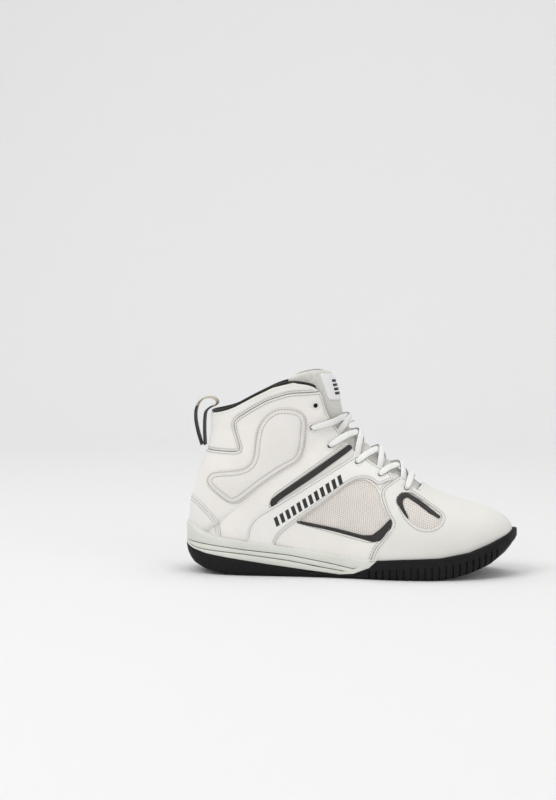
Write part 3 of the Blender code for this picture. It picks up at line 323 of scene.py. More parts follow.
RING_AT = ring_stations()
ANGLES = np.linspace(0, 180, 64)
GRID_AT, GRID_ANGLE = (g.reshape(-1) for g in np.meshgrid(RING_AT, ANGLES[1:-1], indexing="ij"))
GRID_FLAT = section(GRID_AT, -GRID_ANGLE)[:, [0, 2]]
SILHOUETTE = np.vstack([section(RING_AT, 0.0)[:, [0, 2]], section(RING_AT, 180.0)[::-1][:, [0, 2]]])
RIDGE_STEPS = len(RING_AT)
PER_AT, PER_ANGLE = 17.0, 0.55  # turn stations and degrees into about millimetres
ON_SILHOUETTE = 0.02  # points closer to it than this are on it
CLOSEST = 0.15  # points of a loop that are closer together are one
EDGE_STEP = 0.3  # between the samples that distances from an edge are measured to
CLEAR = 1.25  # least distance of the surface's own points from an edge
LONGEST_GAP = 5.0  # in a stitched line


def placed(loop):
    """(station, angle) of a loop's points. Those on the silhouette get exactly 0 or 180 degrees."""
    at, angle = locate(loop)
    a, b = SILHOUETTE[None], np.roll(SILHOUETTE, -1, 0)[None]
    p = np.asarray(loop)[:, None]
    ab = b - a
    share = np.clip(((p - a) * ab).sum(-1) / np.maximum((ab * ab).sum(-1), 1e-12), 0, 1)
    far = np.linalg.norm(p - a - ab * share[..., None], axis=-1)
    far[:, [RIDGE_STEPS - 1, -1]] = 9.0
    nearest = far.argmin(1)
    on_line = far.min(1) < ON_SILHOUETTE
    return at, np.where(on_line, np.where(nearest < RIDGE_STEPS, 0.0, 180.0), np.clip(angle, 0.3, 179.7))


def triangulated(polygons, extra=()):
    """The plane cut into triangles along the polygons: points, triangles, their middles and doubled areas."""
    points, edges = [], []
    for polygon in polygons:
        start, n = len(points), len(polygon)
        points += [Vector(p) for p in polygon]
        edges += [(start + i, start + (i + 1) % n) for i in range(n)]
    points += [Vector(p) for p in extra]
    flat, _, faces, *_ = delaunay_2d_cdt(points, edges, [], 0, 1e-4, False)
    flat, faces = np.array([tuple(p) for p in flat]), np.array(faces)
    corners = flat[faces]
    u, v = corners[:, 1] - corners[:, 0], corners[:, 2] - corners[:, 0]
    return flat, faces, corners.mean(1), u[:, 0] * v[:, 1] - u[:, 1] * v[:, 0]


def border(triangles):
    """The triangles' edges that have no triangle on their other side."""
    directed = set()
    for a, b, c in triangles:
        directed |= {(a, b), (b, c), (c, a)}
    return [(a, b) for a, b in sorted(directed) if (b, a) not in directed]


def loops_of(keep, cut):
    """Edges, counterclockwise, of the region inside all `keep` outlines and outside all `cut` ones."""
    flat, faces, middles, area = triangulated([SILHOUETTE, *keep, *cut])
    faces = np.where((area < 0)[:, None], faces[:, ::-1], faces)
    good = inside(middles, [SILHOUETTE]) & (np.abs(area) > 1e-5)
    for polygon in keep:
        good &= inside(middles, [np.asarray(polygon)])
    for polygon in cut:
        good &= ~inside(middles, [np.asarray(polygon)])
    following = {}
    for a, b in border(faces[good]):
        following.setdefault(a, []).append(b)
    loops = []
    while following:
        start = next(iter(following))
        loop, here = [], start
        while True:
            loop.append(here)
            onwards = following[here]
            there = onwards.pop()
            if not onwards:
                del following[here]
            here = there
            if here == start or here not in following:
                break
        if len(loop) > 3:
            p = flat[loop]
            far = np.linalg.norm(p - np.roll(p, 1, 0), axis=1) > CLOSEST
            if far.sum() > 3:
                loops.append(p[far])
    return loops


def runs(at, angle, good, order, longest=math.inf):
    """Unbroken runs of three or more good places in that order, as (stations, angles)."""
    places, found, run = section(at, -angle), [], []
    for k in [*order, None]:
        if k is not None and good[k] and not (run and np.linalg.norm(places[k] - places[run[-1]]) > longest):
            run.append(k)
            continue
        if len(run) > 2:
            found.append((at[run], angle[run]))
        run = []
    return found


class Pattern:
    """One side of a piece of the upper, laid out on the last: its edges, points and triangles."""

    def __init__(self, keep, cut, joined, sampled):
        self.loops = [placed(loop) for loop in loops_of(keep, cut)]
        self.free = []
        for at, angle in self.loops:
            ridge = (angle == 0) & (np.roll(angle, -1) == 0)
            heel = (angle == 180) & (np.roll(angle, -1) == 180) & (at > HEEL_SEAM - 0.2)
            self.free.append(~(ridge | heel) if joined else np.ones(len(at), bool))
        samples = []
        for (at, angle), free in zip(self.loops, self.free, strict=True):
            p = section(at, -angle)
            q = np.roll(p, -1, 0)
            for k in np.flatnonzero(free):
                count = max(int(np.linalg.norm(q[k] - p[k]) / EDGE_STEP), 1)
                samples.append(p[k] + (q[k] - p[k]) * np.linspace(0, 1, count, endpoint=False)[:, None])
        self.samples = np.vstack(samples)
        self.tree = KDTree(len(self.samples))
        for i, p in enumerate(self.samples):
            self.tree.insert(p, i)
        self.tree.balance()
        self.flat_loops = [np.stack([at * PER_AT, angle * PER_ANGLE], 1) for at, angle in self.loops]
        near = inside(GRID_FLAT, [section(at, -angle)[:, [0, 2]] for at, angle in self.loops])
        at, angle = GRID_AT[near], GRID_ANGLE[near]
        clear = self.distance(at, angle) > CLEAR
        extra = [np.stack([at[clear] * PER_AT, angle[clear] * PER_ANGLE], 1)]
        for depth in sampled:
            for (la, lb), free in zip(self.loops, self.free, strict=True):
                a, b = stepped(la, lb, inwards(la, lb) * depth)
                b = np.where(lb == 0, 0, np.where(lb == 180, 180, np.clip(b, 0, 180)))
                ring = np.stack([a * PER_AT, b * PER_ANGLE], 1)
                good = free & (self.distance(a, b) > depth * 0.85) & (b > 0) & (b < 180)
                good &= inside(ring, self.flat_loops)
                extra.append(ring[good])
        flat, faces, middles, area = triangulated(self.flat_loops, np.vstack(extra))
        faces = faces[inside(middles, self.flat_loops) & (np.abs(area) > 1e-5)]
        used, index = np.unique(faces, return_inverse=True)
        self.faces = index.reshape(-1, 3)
        self.at, self.angle = flat[used, 0] / PER_AT, flat[used, 1] / PER_ANGLE
        self.angle = np.where(self.angle < 0.02, 0, np.where(self.angle > 179.98, 180, self.angle))
        self.depth = self.distance(self.at, self.angle)

    def distance(self, at, angle):
        """How far places are from the free edges."""
        return np.array([self.tree.find(p)[2] for p in section(at, -np.asarray(angle))])

    def rows(self, depth, shortest=30.0):
        """Lines that run inside the free edges at that distance, as lists of (station, angle)."""
        found = []
        for (la, lb), free in zip(self.loops, self.free, strict=True):
            p = section(la, -lb)
            if np.linalg.norm(np.roll(p, -1, 0) - p, axis=1).sum() < shortest:
                continue
            a, b = stepped(la, lb, inwards(la, lb) * depth)
            b = np.clip(b, 0, 180)
            good = free & np.roll(free, 1) & (self.distance(a, b) > depth * 0.93) & (b < 179.5) & (b > 0.5)
            if good.all() and len(good) > 3:
                a, b = np.append(a, a[0]), np.append(b, b[0])
                found.append((a, b))
                continue
            first = int(np.flatnonzero(~good)[0])
            found += runs(a, b, good, (np.arange(len(good)) + first) % len(good), LONGEST_GAP)
        return found


# ---- Meshes --------------------------------------------------------------
def mesh_object(name, points, faces, materials, indices=None, sharp=None):
    mesh = bpy.data.meshes.new(name)
    metres = np.asarray(points, float) / 1000
    mesh.from_pydata([tuple(p) for p in metres], [], [tuple(map(int, f)) for f in faces])
    for m in materials if isinstance(materials, (list, tuple)) else [materials]:
        mesh.materials.append(m)
    if indices is not None:
        mesh.polygons.foreach_set("material_index", np.asarray(indices, np.int32))
    mesh.shade_smooth()
    if sharp:
        mesh.set_sharp_from_angle(angle=math.radians(sharp))
    mesh.update()
    obj = bpy.data.objects.new(name, mesh)
    bpy.context.scene.collection.objects.link(obj)
    return obj


def face_out(obj):
    shape = bmesh.new()
    shape.from_mesh(obj.data)
    bmesh.ops.recalc_face_normals(shape, faces=shape.faces)
    shape.to_mesh(obj.data)
    shape.free()
    return obj


def settled(obj, body, stands_for=()):
    """Puts a piece on its body, in place of the CAD nodes it stands for."""
    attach(obj, body)
    if stands_for:
        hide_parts(*stands_for)
    return obj


def eased(t):
    t = np.clip(t, 0, 1)
    return t * t * (3 - 2 * t)


GROOVE_DEPTH, GROOVE_REACH = 0.28, 0.6  # where a stitch line pulls the leather in


def drop(depth, radius):
    """How much a rounded edge is below full height at a distance from it."""
    if radius <= 0:
        return np.zeros(len(depth))
    t = np.clip(1 - depth / radius, 0, 1)
    return radius * (1 - np.sqrt(np.maximum(1 - t * t, 0)))


def panel(
    name, look, pattern, body="shoe", sides=BOTH, low=LEATHER_IN, high=LEATHER_OUT, edge=0.7, low_edge=0.0,
    puff=0.0, puff_over=9.0, stands_for=(), slot=None, groove=(), shape=None,
):  # fmt: skip
    """A piece of the upper with rounded edges.

    `puff` crowns it, `groove` sinks lines for stitching, and `shape` raises its outer face.
    """
    top = high - drop(pattern.depth, edge) + puff * eased(pattern.depth / puff_over)
    for depth in groove:
        top = top - GROOVE_DEPTH * np.exp(-(((pattern.depth - depth) / GROOVE_REACH) ** 2))
    if shape:
        top = top + shape(pattern)
    bottom = low + drop(pattern.depth, low_edge)
    outer, inner, triangles, depths, count = [], [], [], [], 0
    for side in sides:
        outer.append(last(pattern.at, pattern.angle * side, top))
        inner.append(last(pattern.at, pattern.angle * side, bottom))
        triangles.append(pattern.faces + count if side == MEDIAL else pattern.faces[:, ::-1] + count)
        depths.append(pattern.depth)
        count += len(pattern.at)
    outer, inner, triangles = np.vstack(outer), np.vstack(inner), np.vstack(triangles)
    depths = np.concatenate(depths)
    keys = np.round(np.hstack([outer, inner]), 3)
    _, first, index = np.unique(keys, axis=0, return_index=True, return_inverse=True)
    outer, inner, depths = outer[first], inner[first], depths[first]
    triangles = index.reshape(-1)[triangles]
    whole = (triangles[:, 0] != triangles[:, 1]) & (triangles[:, 1] != triangles[:, 2])
    triangles = triangles[whole & (triangles[:, 0] != triangles[:, 2])]
    n = len(outer)
    faces = [tuple(t) for t in triangles] + [(a + n, c + n, b + n) for a, b, c in triangles]
    faces += [(b, a, a + n, b + n) for a, b in border(triangles)]
    obj = mesh_object(name, np.vstack([outer, inner]), faces, look)
    # edge_mm and sewn feed the painted shade that skin() puts along edges and stitch lines
    attribute = obj.data.attributes.new("edge_mm", "FLOAT", "POINT")
    attribute.data.foreach_set("value", np.minimum(np.concatenate([depths, depths]), 30).astype(np.float32))
    line = obj.data.attributes.new("sewn", "FLOAT", "POINT")
    near = [np.exp(-(((depths - d) / 0.55) ** 2)) for d in groove] or [np.zeros(len(depths))]
    line.data.foreach_set("value", np.tile(np.max(near, axis=0), 2).astype(np.float32))
    face_out(obj)
    obj.data.set_sharp_from_angle(angle=math.radians(55))
    return settled(obj, body, stands_for)


def even_path(at, angle, pitch, phase):
    """(stations, angles) along a line on the last, a pitch apart."""
    p = section(at, -angle)
    length = np.concatenate([[0], np.cumsum(np.linalg.norm(np.diff(p, axis=0), axis=1))])
    count = max(int(length[-1] / pitch), 1)
    s = (np.arange(count) + phase) * length[-1] / count
    return np.interp(s, length, at), np.interp(s, length, angle)


def stitches(name, rows, offset):
    """Threads, and dark beads of painted shade for the needle holes between them, along rows of (stations,
    angles) on the last.
    """
    threads(name, THREAD, rows, offset, 1.6, 0.33, 0.5)
    # Painted shade: dark beads where the needle holes are
    threads(name + "_holes", NEEDLE_HOLE_SHADE, rows, offset + 0.02, 0.95, 0.26, 0.0)


STITCH_PITCH = 2.7
BEADS = ((-0.5, 0.35, -0.35), (-0.22, 1, 0.2), (0.22, 1, 0.2), (0.5, 0.35, -0.35))  # along, size, up
CORNERS = 5


def threads(name, look, rows, offset, long, thick, phase):
    """Short beads of four rings each, on both sides of the shoe."""
    points, faces = [], []
    turn = np.linspace(0, 2 * math.pi, CORNERS, endpoint=False)[None, :, None]
    for side in BOTH:
        for at, angle in rows:
            a, b = even_path(at, angle, STITCH_PITCH, phase)
            if len(a) < 2:
                continue
            centre = last(a, b * side, offset)
            t = unit(np.gradient(centre, axis=0))
            n = unit(normal_at(a, b * side))
            w = np.cross(t, n)
            rings = []
            for along, size, up in BEADS:
                ring = centre + t * along * long + n * up * thick
                round_it = np.cos(turn) * w[:, None] + np.sin(turn) * n[:, None]
                rings.append(ring[:, None] + thick * size * round_it)
            start = len(points)
            points.extend(np.stack(rings, 1).reshape(-1, 3))
            for bead in range(len(a)):
                base = start + bead * CORNERS * len(BEADS)
                for r in range(base, base + CORNERS * (len(BEADS) - 1), CORNERS):
                    for c in range(CORNERS):
                        d = (c + 1) % CORNERS
                        faces.append((r + c, r + d, r + CORNERS + d, r + CORNERS + c))
                faces.append(tuple(base + c for c in range(CORNERS))[::-1])
                faces.append(tuple(base + CORNERS * (len(BEADS) - 1) + c for c in range(CORNERS)))
    return settled(face_out(mesh_object(name, points, faces, look)), "shoe")


# ---- Materials -----------------------------------------------------------
class Look:
    """A procedural material, built node by node."""

    def __init__(self, name, roughness=0.5, metallic=0.0, sheen=0.0, specular=0.5):
        self.material = bpy.data.materials.new(name)
        self.material.use_nodes = True
        self.tree = self.material.node_tree
        self.shader = self.tree.nodes["Principled BSDF"]
        self.set(self.shader, Roughness=roughness, Metallic=metallic)
        self.shader.inputs["Specular IOR Level"].default_value = specular
        self.shader.inputs["Sheen Weight"].default_value = sheen
        self.shader.inputs["Sheen Roughness"].default_value = 0.5
        self.place = self.tree.nodes.new("ShaderNodeTexCoord").outputs["Object"]

    def set(self, node, **values):
        for key, value in values.items():
            node.inputs[key.replace("_", " ")].default_value = value

    def link(self, a, b):
        self.tree.links.new(a, b)

    def new(self, kind, **options):
        node = self.tree.nodes.new(kind)
        for key, value in options.items():
            setattr(node, key, value)
        return node

    def noise(self, scale, detail=3.0, roughness=0.6):
        node = self.new("ShaderNodeTexNoise")
        self.set(node, Scale=scale, Detail=detail, Roughness=roughness)
        self.link(self.place, node.inputs["Vector"])
        return node.outputs["Fac"]

    def cells(self, scale):
        node = self.new("ShaderNodeTexVoronoi")
        self.set(node, Scale=scale)
        self.link(self.place, node.inputs["Vector"])
        return node.outputs["Distance"]

    def math(self, operation, a, b=0.0):
        node = self.new("ShaderNodeMath", operation=operation)
        for socket, value in zip(node.inputs, (a, b), strict=False):
            if isinstance(value, (int, float)):
                socket.default_value = value
            else:
                self.link(value, socket)
        return node.outputs[0]

    def ramp(self, value, low, high, to_low=0.0, to_high=1.0):
        node = self.new("ShaderNodeMapRange")
        self.set(node, From_Min=low, From_Max=high, To_Min=to_low, To_Max=to_high)
        self.link(value, node.inputs["Value"])
        return node.outputs["Result"]

    def mix(self, share, a, b):
        node = self.new("ShaderNodeMix", data_type="RGBA")
        for socket, value in ((node.inputs[0], share), (node.inputs[6], a), (node.inputs[7], b)):
            if isinstance(value, tuple):
                socket.default_value = (*value, 1.0)
            elif isinstance(value, (int, float)):
                socket.default_value = value
            else:
                self.link(value, socket)
        return node.outputs[2]

    def colour(self, value):
        if isinstance(value, tuple):
            self.shader.inputs["Base Color"].default_value = (*value, 1.0)
        else:
            self.link(value, self.shader.inputs["Base Color"])
        return self

    def roughness(self, value):
        self.link(value, self.shader.inputs["Roughness"])
        return self

    def bump(self, height, distance, strength=1.0):
        """Height in steps of `distance` millimetres. Later bumps lie on earlier ones."""
        node = self.new("ShaderNodeBump")
        node.inputs["Strength"].default_value = strength
        node.inputs["Distance"].default_value = distance / 1000
        self.link(height, node.inputs["Height"])
        socket = self.shader.inputs["Normal"]
        if socket.links:
            self.link(socket.links[0].from_socket, node.inputs["Normal"])
        self.link(node.outputs["Normal"], socket)
        return self

    def attribute(self, name):
        return self.new("ShaderNodeAttribute", attribute_name=name).outputs["Fac"]

    def turned(self, angle):
        """The place, turned about the shoe's sideways axis."""
        node = self.new("ShaderNodeMapping")
        node.inputs["Rotation"].default_value = (0, math.radians(angle), 0)
        self.link(self.place, node.inputs["Vector"])
        return node.outputs["Vector"]


def srgb(*values):
    return tuple(((v / 255 + 0.055) / 1.055) ** 2.4 for v in values)


def skin(name, light, dark, roughness, grain, depth, sheen=0.0):
    """Leather or nubuck: a fine grain, cloudy tone, and painted shade along the cut edges and stitch lines.
    """
    look = Look(name, roughness=roughness, sheen=sheen, specular=0.4)
    clouds = look.ramp(look.noise(28, 4), 0.35, 0.65)
    fine = look.ramp(look.noise(900, 2), 0.3, 0.7)
    tone = look.mix(look.math("MULTIPLY", look.math("ADD", clouds, fine), 0.5), dark, light)
    # Painted shade: darker within 0.8 mm of a piece's edge and along its stitch lines, where shadow falls at
    # the seams and grooves
    cut = look.ramp(look.attribute("edge_mm"), 0.0, 0.8, 0.55, 0.0)
    sewn = look.math("MULTIPLY", look.attribute("sewn"), 0.22)
    painted_edge_shade = look.math("MAXIMUM", cut, sewn)
    look.colour(look.mix(painted_edge_shade, tone, tuple(c * 0.55 for c in dark)))
    look.roughness(look.ramp(look.noise(400, 3), 0.3, 0.7, roughness - 0.07, roughness + 0.07))
    look.bump(look.cells(grain), depth, 0.5)
    look.bump(look.noise(grain * 2.2, 3), depth * 0.8, 0.5)
    look.bump(look.noise(45, 3), 0.35, 0.25)
    return look.material


WHITE_LEATHER = skin("smooth_leather", srgb(236, 235, 231), srgb(230, 229, 225), 0.5, 1300, 0.05)
VAMP_LEATHER = skin("vamp_leather", srgb(229, 228, 223), srgb(223, 222, 216), 0.55, 1500, 0.04)
NUBUCK = skin("nubuck", srgb(239, 236, 232), srgb(231, 228, 223), 0.78, 1500, 0.07, sheen=0.15)
PAD_LEATHER = skin("pad_leather", srgb(234, 231, 227), srgb(226, 223, 218), 0.7, 1100, 0.09, sheen=0.1)


def thread_look():
    look = Look("thread", roughness=0.7)
    tone = look.ramp(look.noise(1500, 2), 0.3, 0.7)
    look.colour(look.mix(tone, srgb(196, 193, 188), srgb(222, 220, 216)))
    look.bump(look.noise(2500, 2), 0.05)
    return look.material


def film_look(name):
    look = Look(name, roughness=0.45)
    tone = look.ramp(look.noise(120, 4), 0.35, 0.65)
    look.colour(look.mix(tone, srgb(30, 28, 28), srgb(44, 41, 39)))
    look.roughness(look.ramp(look.noise(300, 3), 0.3, 0.7, 0.38, 0.55))
    look.bump(look.noise(1600, 3), 0.03)
    return look.material


def net_look(name, light, dark, gap):
    """Air mesh: rows of small holes between knitted cords."""
    look = Look(name, roughness=0.85, sheen=0.1)
    split = look.new("ShaderNodeSeparateXYZ")
    look.link(look.turned(32), split.inputs[0])
    pitch = 2 * math.pi / (gap / 1000)
    across = look.math("SINE", look.math("MULTIPLY", split.outputs["X"], pitch))
    along = look.math("SINE", look.math("MULTIPLY", split.outputs["Z"], pitch * 0.72))
    checker = look.math("MULTIPLY", across, along)
    uneven = look.math("MULTIPLY", look.noise(1400, 2), 0.25)
    holes = look.ramp(look.math("ADD", checker, uneven), 0.35, 0.85)
    tone = look.mix(look.ramp(look.noise(60, 3), 0.35, 0.65), light, tuple(c * 0.93 for c in light))
    look.colour(look.mix(holes, tone, dark))
    look.bump(look.math("SUBTRACT", 1.0, holes), 0.5, 0.9)
    look.bump(look.noise(2600, 2), 0.06, 0.6)
    return look.material


def cloth_look(name, light, dark, scale, depth, roughness=0.9, sheen=0.2):
    look = Look(name, roughness=roughness, sheen=sheen)
    tone = look.ramp(look.noise(scale, 4, 0.7), 0.3, 0.7)
    look.colour(look.mix(tone, dark, light))
    look.bump(look.cells(scale * 1.3), depth, 0.7)
    look.bump(look.noise(scale * 2, 3), depth * 0.6, 0.6)
    return look.material


def rubber_look(name, light, dark, roughness):
    look = Look(name, roughness=roughness, specular=0.25)
    tone = look.ramp(look.noise(35, 4), 0.3, 0.7)
    look.colour(look.mix(tone, dark, light))
    look.roughness(look.ramp(look.noise(220, 3), 0.3, 0.7, roughness - 0.08, roughness + 0.08))
    look.bump(look.noise(1800, 3), 0.03, 0.6)
    look.bump(look.noise(90, 3), 0.12, 0.25)
    return look.material


THREAD = thread_look()
# Painted shade: the dark colour of the needle holes between stitches
NEEDLE_HOLE_SHADE = cloth_look("needle_hole_shade", srgb(146, 139, 131), srgb(118, 112, 106), 900, 0.05)
FILM = film_look("black_film")
MESH = net_look("mesh", srgb(233, 227, 220), srgb(196, 188, 180), 2.3)
FELT = cloth_look("felt", srgb(226, 223, 219), srgb(214, 211, 206), 900, 0.08)
FLEECE = cloth_look("fleece", srgb(222, 220, 214), srgb(200, 197, 190), 620, 0.3, sheen=0.35)
LINING = cloth_look("lining", srgb(36, 35, 35), srgb(20, 20, 20), 800, 0.15, sheen=0.1)
BLACK_WEBBING = cloth_look("black_webbing", srgb(44, 42, 41), srgb(24, 23, 23), 700, 0.2)
CREAM_WEBBING = cloth_look("cream_webbing", srgb(206, 196, 178), srgb(178, 166, 146), 700, 0.2)
LACE = cloth_look("lace", srgb(242, 242, 240), srgb(226, 226, 223), 1100, 0.12)
# The lace's dark edges: partly a black edge of the lace, partly painted shadow under it
LACE_EDGE_AND_SHADE = cloth_look("lace_edge_and_shade", srgb(40, 39, 39), srgb(24, 24, 24), 1100, 0.12)
LABEL = cloth_look("label", srgb(240, 239, 240), srgb(232, 231, 232), 1500, 0.04, roughness=0.45, sheen=0.0)
PRINT = film_look("printed_black")
WHITE_RUBBER = rubber_look("white_rubber", srgb(221, 222, 214), srgb(212, 213, 205), 0.5)
BLACK_RUBBER = rubber_look("black_rubber", srgb(15, 15, 16), srgb(8, 8, 9), 0.6)
# Painted shade: the darker grey on the floors of the midsole's grooves
GROOVE_SHADE_RUBBER = rubber_look("groove_shade_rubber", srgb(112, 114, 106), srgb(92, 94, 88), 0.7)
FOAM = cloth_look("foam", srgb(236, 230, 212), srgb(220, 212, 190), 1500, 0.1)
BOARD = cloth_look("fibre_board", srgb(200, 186, 156), srgb(180, 164, 132), 600, 0.1)
STIFFENER = rubber_look("stiffener", srgb(224, 222, 216), srgb(212, 210, 204), 0.5)
AGLET = rubber_look("aglet_plastic", srgb(236, 236, 236), srgb(222, 222, 222), 0.2)
STEEL = Look("shank_steel", roughness=0.35, metallic=1.0)
STEEL.colour(STEEL.mix(STEEL.noise(400, 3), srgb(150, 150, 152), srgb(190, 190, 192)))
STEEL.bump(STEEL.noise(900, 3), 0.02)
STEEL = STEEL.material

# ---- Outlines of the upper's pieces, from the side -----------------------
FAR, LOW, HIGH = 178, -60, 235  # well past the shoe
THROAT = rounded(
    [(61, 77.8), (56.6, 81.8), (52, 85.5), (45, 89), (33, 94.5), (18, 102), (4, 112), (-7, 125), (-16, 138),
     (-22, 149), (-25, 162), (-30, 173)], 8, closed=False,
)  # fmt: skip
OPENING = np.vstack([THROAT, [(-30, HIGH), (FAR, HIGH), (FAR, 120), (72, 88)]])
COLLAR_LINE = rounded(
    [(-24, 158), (-26.5, 166), (-33, 173), (-51, 176), (-69, 171.5), (-87, 162.5), (-107, 151.5), (-124, 147),
     (-FAR, 147)], 9, closed=False,
)  # fmt: skip


def under(line):
    """The region below a collar line that runs from front to back."""
    return np.vstack([[(FAR, line[0][1])], line, [(-FAR, LOW), (FAR, LOW)]])


UNDER_COLLAR = under(COLLAR_LINE)
VAMP_LINE = rounded(
    [(60, 98), (49, 92), (33, 81.5), (30, 77), (32, 69), (37, 58), (42, 52), (41, 47), (36, 39), (26, 28),
     (19, 8), (19, LOW)], 5, closed=False,
)  # fmt: skip
SEAM_LINE = rounded(
    [(-8, 168.6), (-37, 167), (-54, 166.5), (-73, 160.5), (-88, 152), (-101, 143.5), (-104.5, 138),
     (-101, 126), (-98, 117), (-99, 113), (-112, 112.6), (-FAR, 112.6)], 6, closed=False,
)  # fmt: skip
STRAP = rounded(
    [(9, 110.5), (-85, 53.5), (-91.5, 42), (-92.4, 22), (-67, 19.5), (-66.5, 31), (-62, 39), (-46, 51.5),
     (-1, 84.5), (9, 89), (19, 88.5), (27, 82), (33, 85), (40, 86), (36, 92.6), (20, 100.8)], 7,
)  # fmt: skip
ANKLE_PAD = rounded(
    [(-70, 152.5), (-56, 154.5), (-44, 151.5), (-38, 144), (-39.5, 122), (-43, 105), (-58, 97), (-79, 82.5),
     (-99, 66), (-108, 64.5), (-127, 79), (-129.5, 86), (-124, 94.5), (-95, 98), (-86.5, 106), (-85, 124),
     (-82, 139)], 9,
)  # fmt: skip
STRIPE = rounded([(3, 113.8), (-3, 118.5), (-66, 73), (-70.5, 63.5), (-66, 62.0), (-61, 66.4), (4, 108.3)], 3)
STRIPE_FILM = rounded(
    [(2.4, 115.0), (-1, 118.6), (-66, 73.2), (-70.2, 69.6), (-70.8, 65.2), (-68.6, 61.6), (-65.2, 62.8),
     (-64.2, 67.6), (-57.6, 72.6), (-30.8, 90.6), (-3.0, 110.6)], 1.8,
)  # fmt: skip
WINDOW = rounded(
    [(-45, 50.5), (1, 85), (8, 88), (16, 87.5), (24, 82), (28.5, 76), (30.5, 67), (36, 57), (39.5, 52.5),
     (39.5, 49), (30, 36.5), (20, 35)], 4.5,
)  # fmt: skip
WINDOW_NET = rounded([(-50, 47), (1, 89), (18, 92), (34, 80), (45, 50), (30, 31), (18, 30)], 3)
WINDOW_FILM = rounded(
    [(-46.4, 48.6), (-46, 51.2), (-9.9, 45.0), (14, 39.6), (23, 40.0), (31, 46.0), (39.4, 54.8), (41.5, 51.6),
     (40.5, 46.6), (31, 35.2), (24.5, 33.4), (14.4, 36.0), (-9.8, 41.6)], 1.4,
)  # fmt: skip
VENT = rounded(
    [(51, 75.6), (45, 71), (49.5, 62), (55, 53.5), (63, 47), (74, 45), (82, 48), (85.5, 54), (83, 58),
     (56, 75.8)], 4.5,
)  # fmt: skip
VENT_NET = rounded(
    [(51.6, 77.4), (41, 71), (46, 60), (52, 50), (62, 43), (75, 41.5), (86, 46), (89, 54), (84, 61)], 3
)
VENT_FILM = rounded(
    [(51.8, 76.2), (47.6, 75.8), (44.2, 72.8), (43.6, 69.6), (47.0, 63.4), (52.0, 56.4), (55.2, 54.0),
     (54.6, 56.6), (50.6, 63.6), (49.2, 68.4), (50.2, 71.6), (53.2, 72.2), (60.8, 67.2), (72.6, 58.6),
     (81.6, 53.8), (83.4, 55.0), (76.6, 60.0), (62.6, 70.0)], 1.1,
)  # fmt: skip
HEEL_COVER = rounded(
    [(-FAR, 71), (-146, 71), (-137, 68), (-127, 59.5), (-120, 51.5), (-116.5, 44), (-115, 34), (-115, 20),
     (-FAR, 20)], 7,
)  # fmt: skip
EYELETS = [(51.5, 79), (28, 91.2), (7, 102.6), (-18, 118), (-34, 135), (-31, 155)]
LACED = 5
EYELET_RADIUS = 2.1
TONGUE_EDGE = [
    (74, 110), (70, 66), (52, 72.5), (36, 82), (20, 91), (4, 102), (-14, 115), (-28, 131), (-37, 146),
    (-43, 160),
]  # fmt: skip
TONGUE = rounded(
    [*TONGUE_EDGE, (-50, 170), (-55, 178), (-51, 181.5), (-41, 185), (-28, 188), (-18, 187.5), (-8, 185),
     (60, 185)], 6,
)  # fmt: skip
TONGUE_BACK = rounded(
    [*TONGUE_EDGE, (-49, 168), (-52, 174), (-46, 177.5), (-28, 181), (-8, 179), (60, 179)], 6
)
TONGUE_LABEL = rounded([(-26, 184.5), (-22, 172), (-18.5, 159.5), (20, 159.5), (20, 182), (-10, 183.5)], 3.5)
ahead_of_seam = np.vstack([VAMP_LINE, [(FAR, LOW), (FAR, HIGH), (60, HIGH)]])
behind_seam = np.vstack([moved(VAMP_LINE, -0.15), [(-FAR, LOW), (-FAR, HIGH), (60, HIGH)]])
above_seam = np.vstack([SEAM_LINE, [(-FAR, HIGH), (60, HIGH), (60, 150)]])
below_seam = np.vstack([moved(SEAM_LINE, 0.25), [(-FAR, LOW), (FAR, LOW), (FAR, 168.4)]])
holes = [hole(*eyelet, EYELET_RADIUS) for eyelet in EYELETS]

# ---- Pieces of the upper -------------------------------------------------
# Rings of points follow an edge round its bend, and lie along each stitch line and a little to both sides
BEND = (0.35, 0.9)
SIDE_RING, CLOSEST_RING = 0.55, 0.2
VAMP_SEWN, QUARTER_SEWN, COLLAR_SEWN, STRAP_SEWN = 2.2, 2.0, 2.1, 1.9
PAD_SEWN, HEEL_SEWN = (1.6, 5.4), (1.8, 4.4)


def piece(keep, cut=(), joined=False, sewn=()):
    lines = [round(depth + SIDE_RING * side, 2) for depth in sewn for side in (-1, 0, 1)]
    return Pattern(keep, cut, joined, (*BEND, *[line for line in lines if line > BEND[-1] + CLOSEST_RING]))


vamp_pattern = piece([ahead_of_seam], [OPENING, VENT, holes[0]], True, (VAMP_SEWN,))
panel("vamp_skin", VAMP_LEATHER, vamp_pattern, high=3.15, edge=0.9, stands_for=["vamp"], slot="suede",
      groove=(VAMP_SEWN,))  # fmt: skip
quarter_pattern = piece(
    [behind_seam, UNDER_COLLAR, below_seam], [OPENING, WINDOW, STRIPE, *holes[1:]], True, (QUARTER_SEWN,)
)
panel("quarter_skin", NUBUCK, quarter_pattern, high=3.05, edge=0.8,
      stands_for=["quarter_lateral", "quarter_medial"], slot="leather", groove=(QUARTER_SEWN,))  # fmt: skip
collar_pattern = piece([UNDER_COLLAR, above_seam], [OPENING], True, (COLLAR_SEWN,))
collar = panel(
    "collar_skin", NUBUCK, collar_pattern, low=0.2, high=3.0, edge=1.9, puff=0.9, puff_over=12,
    stands_for=["collar_cover"], slot="leather", groove=(COLLAR_SEWN,),
)  # fmt: skip
strap_pattern, pad_pattern = piece([STRAP], holes[1:3], sewn=(STRAP_SEWN,)), piece([ANKLE_PAD], sewn=PAD_SEWN)

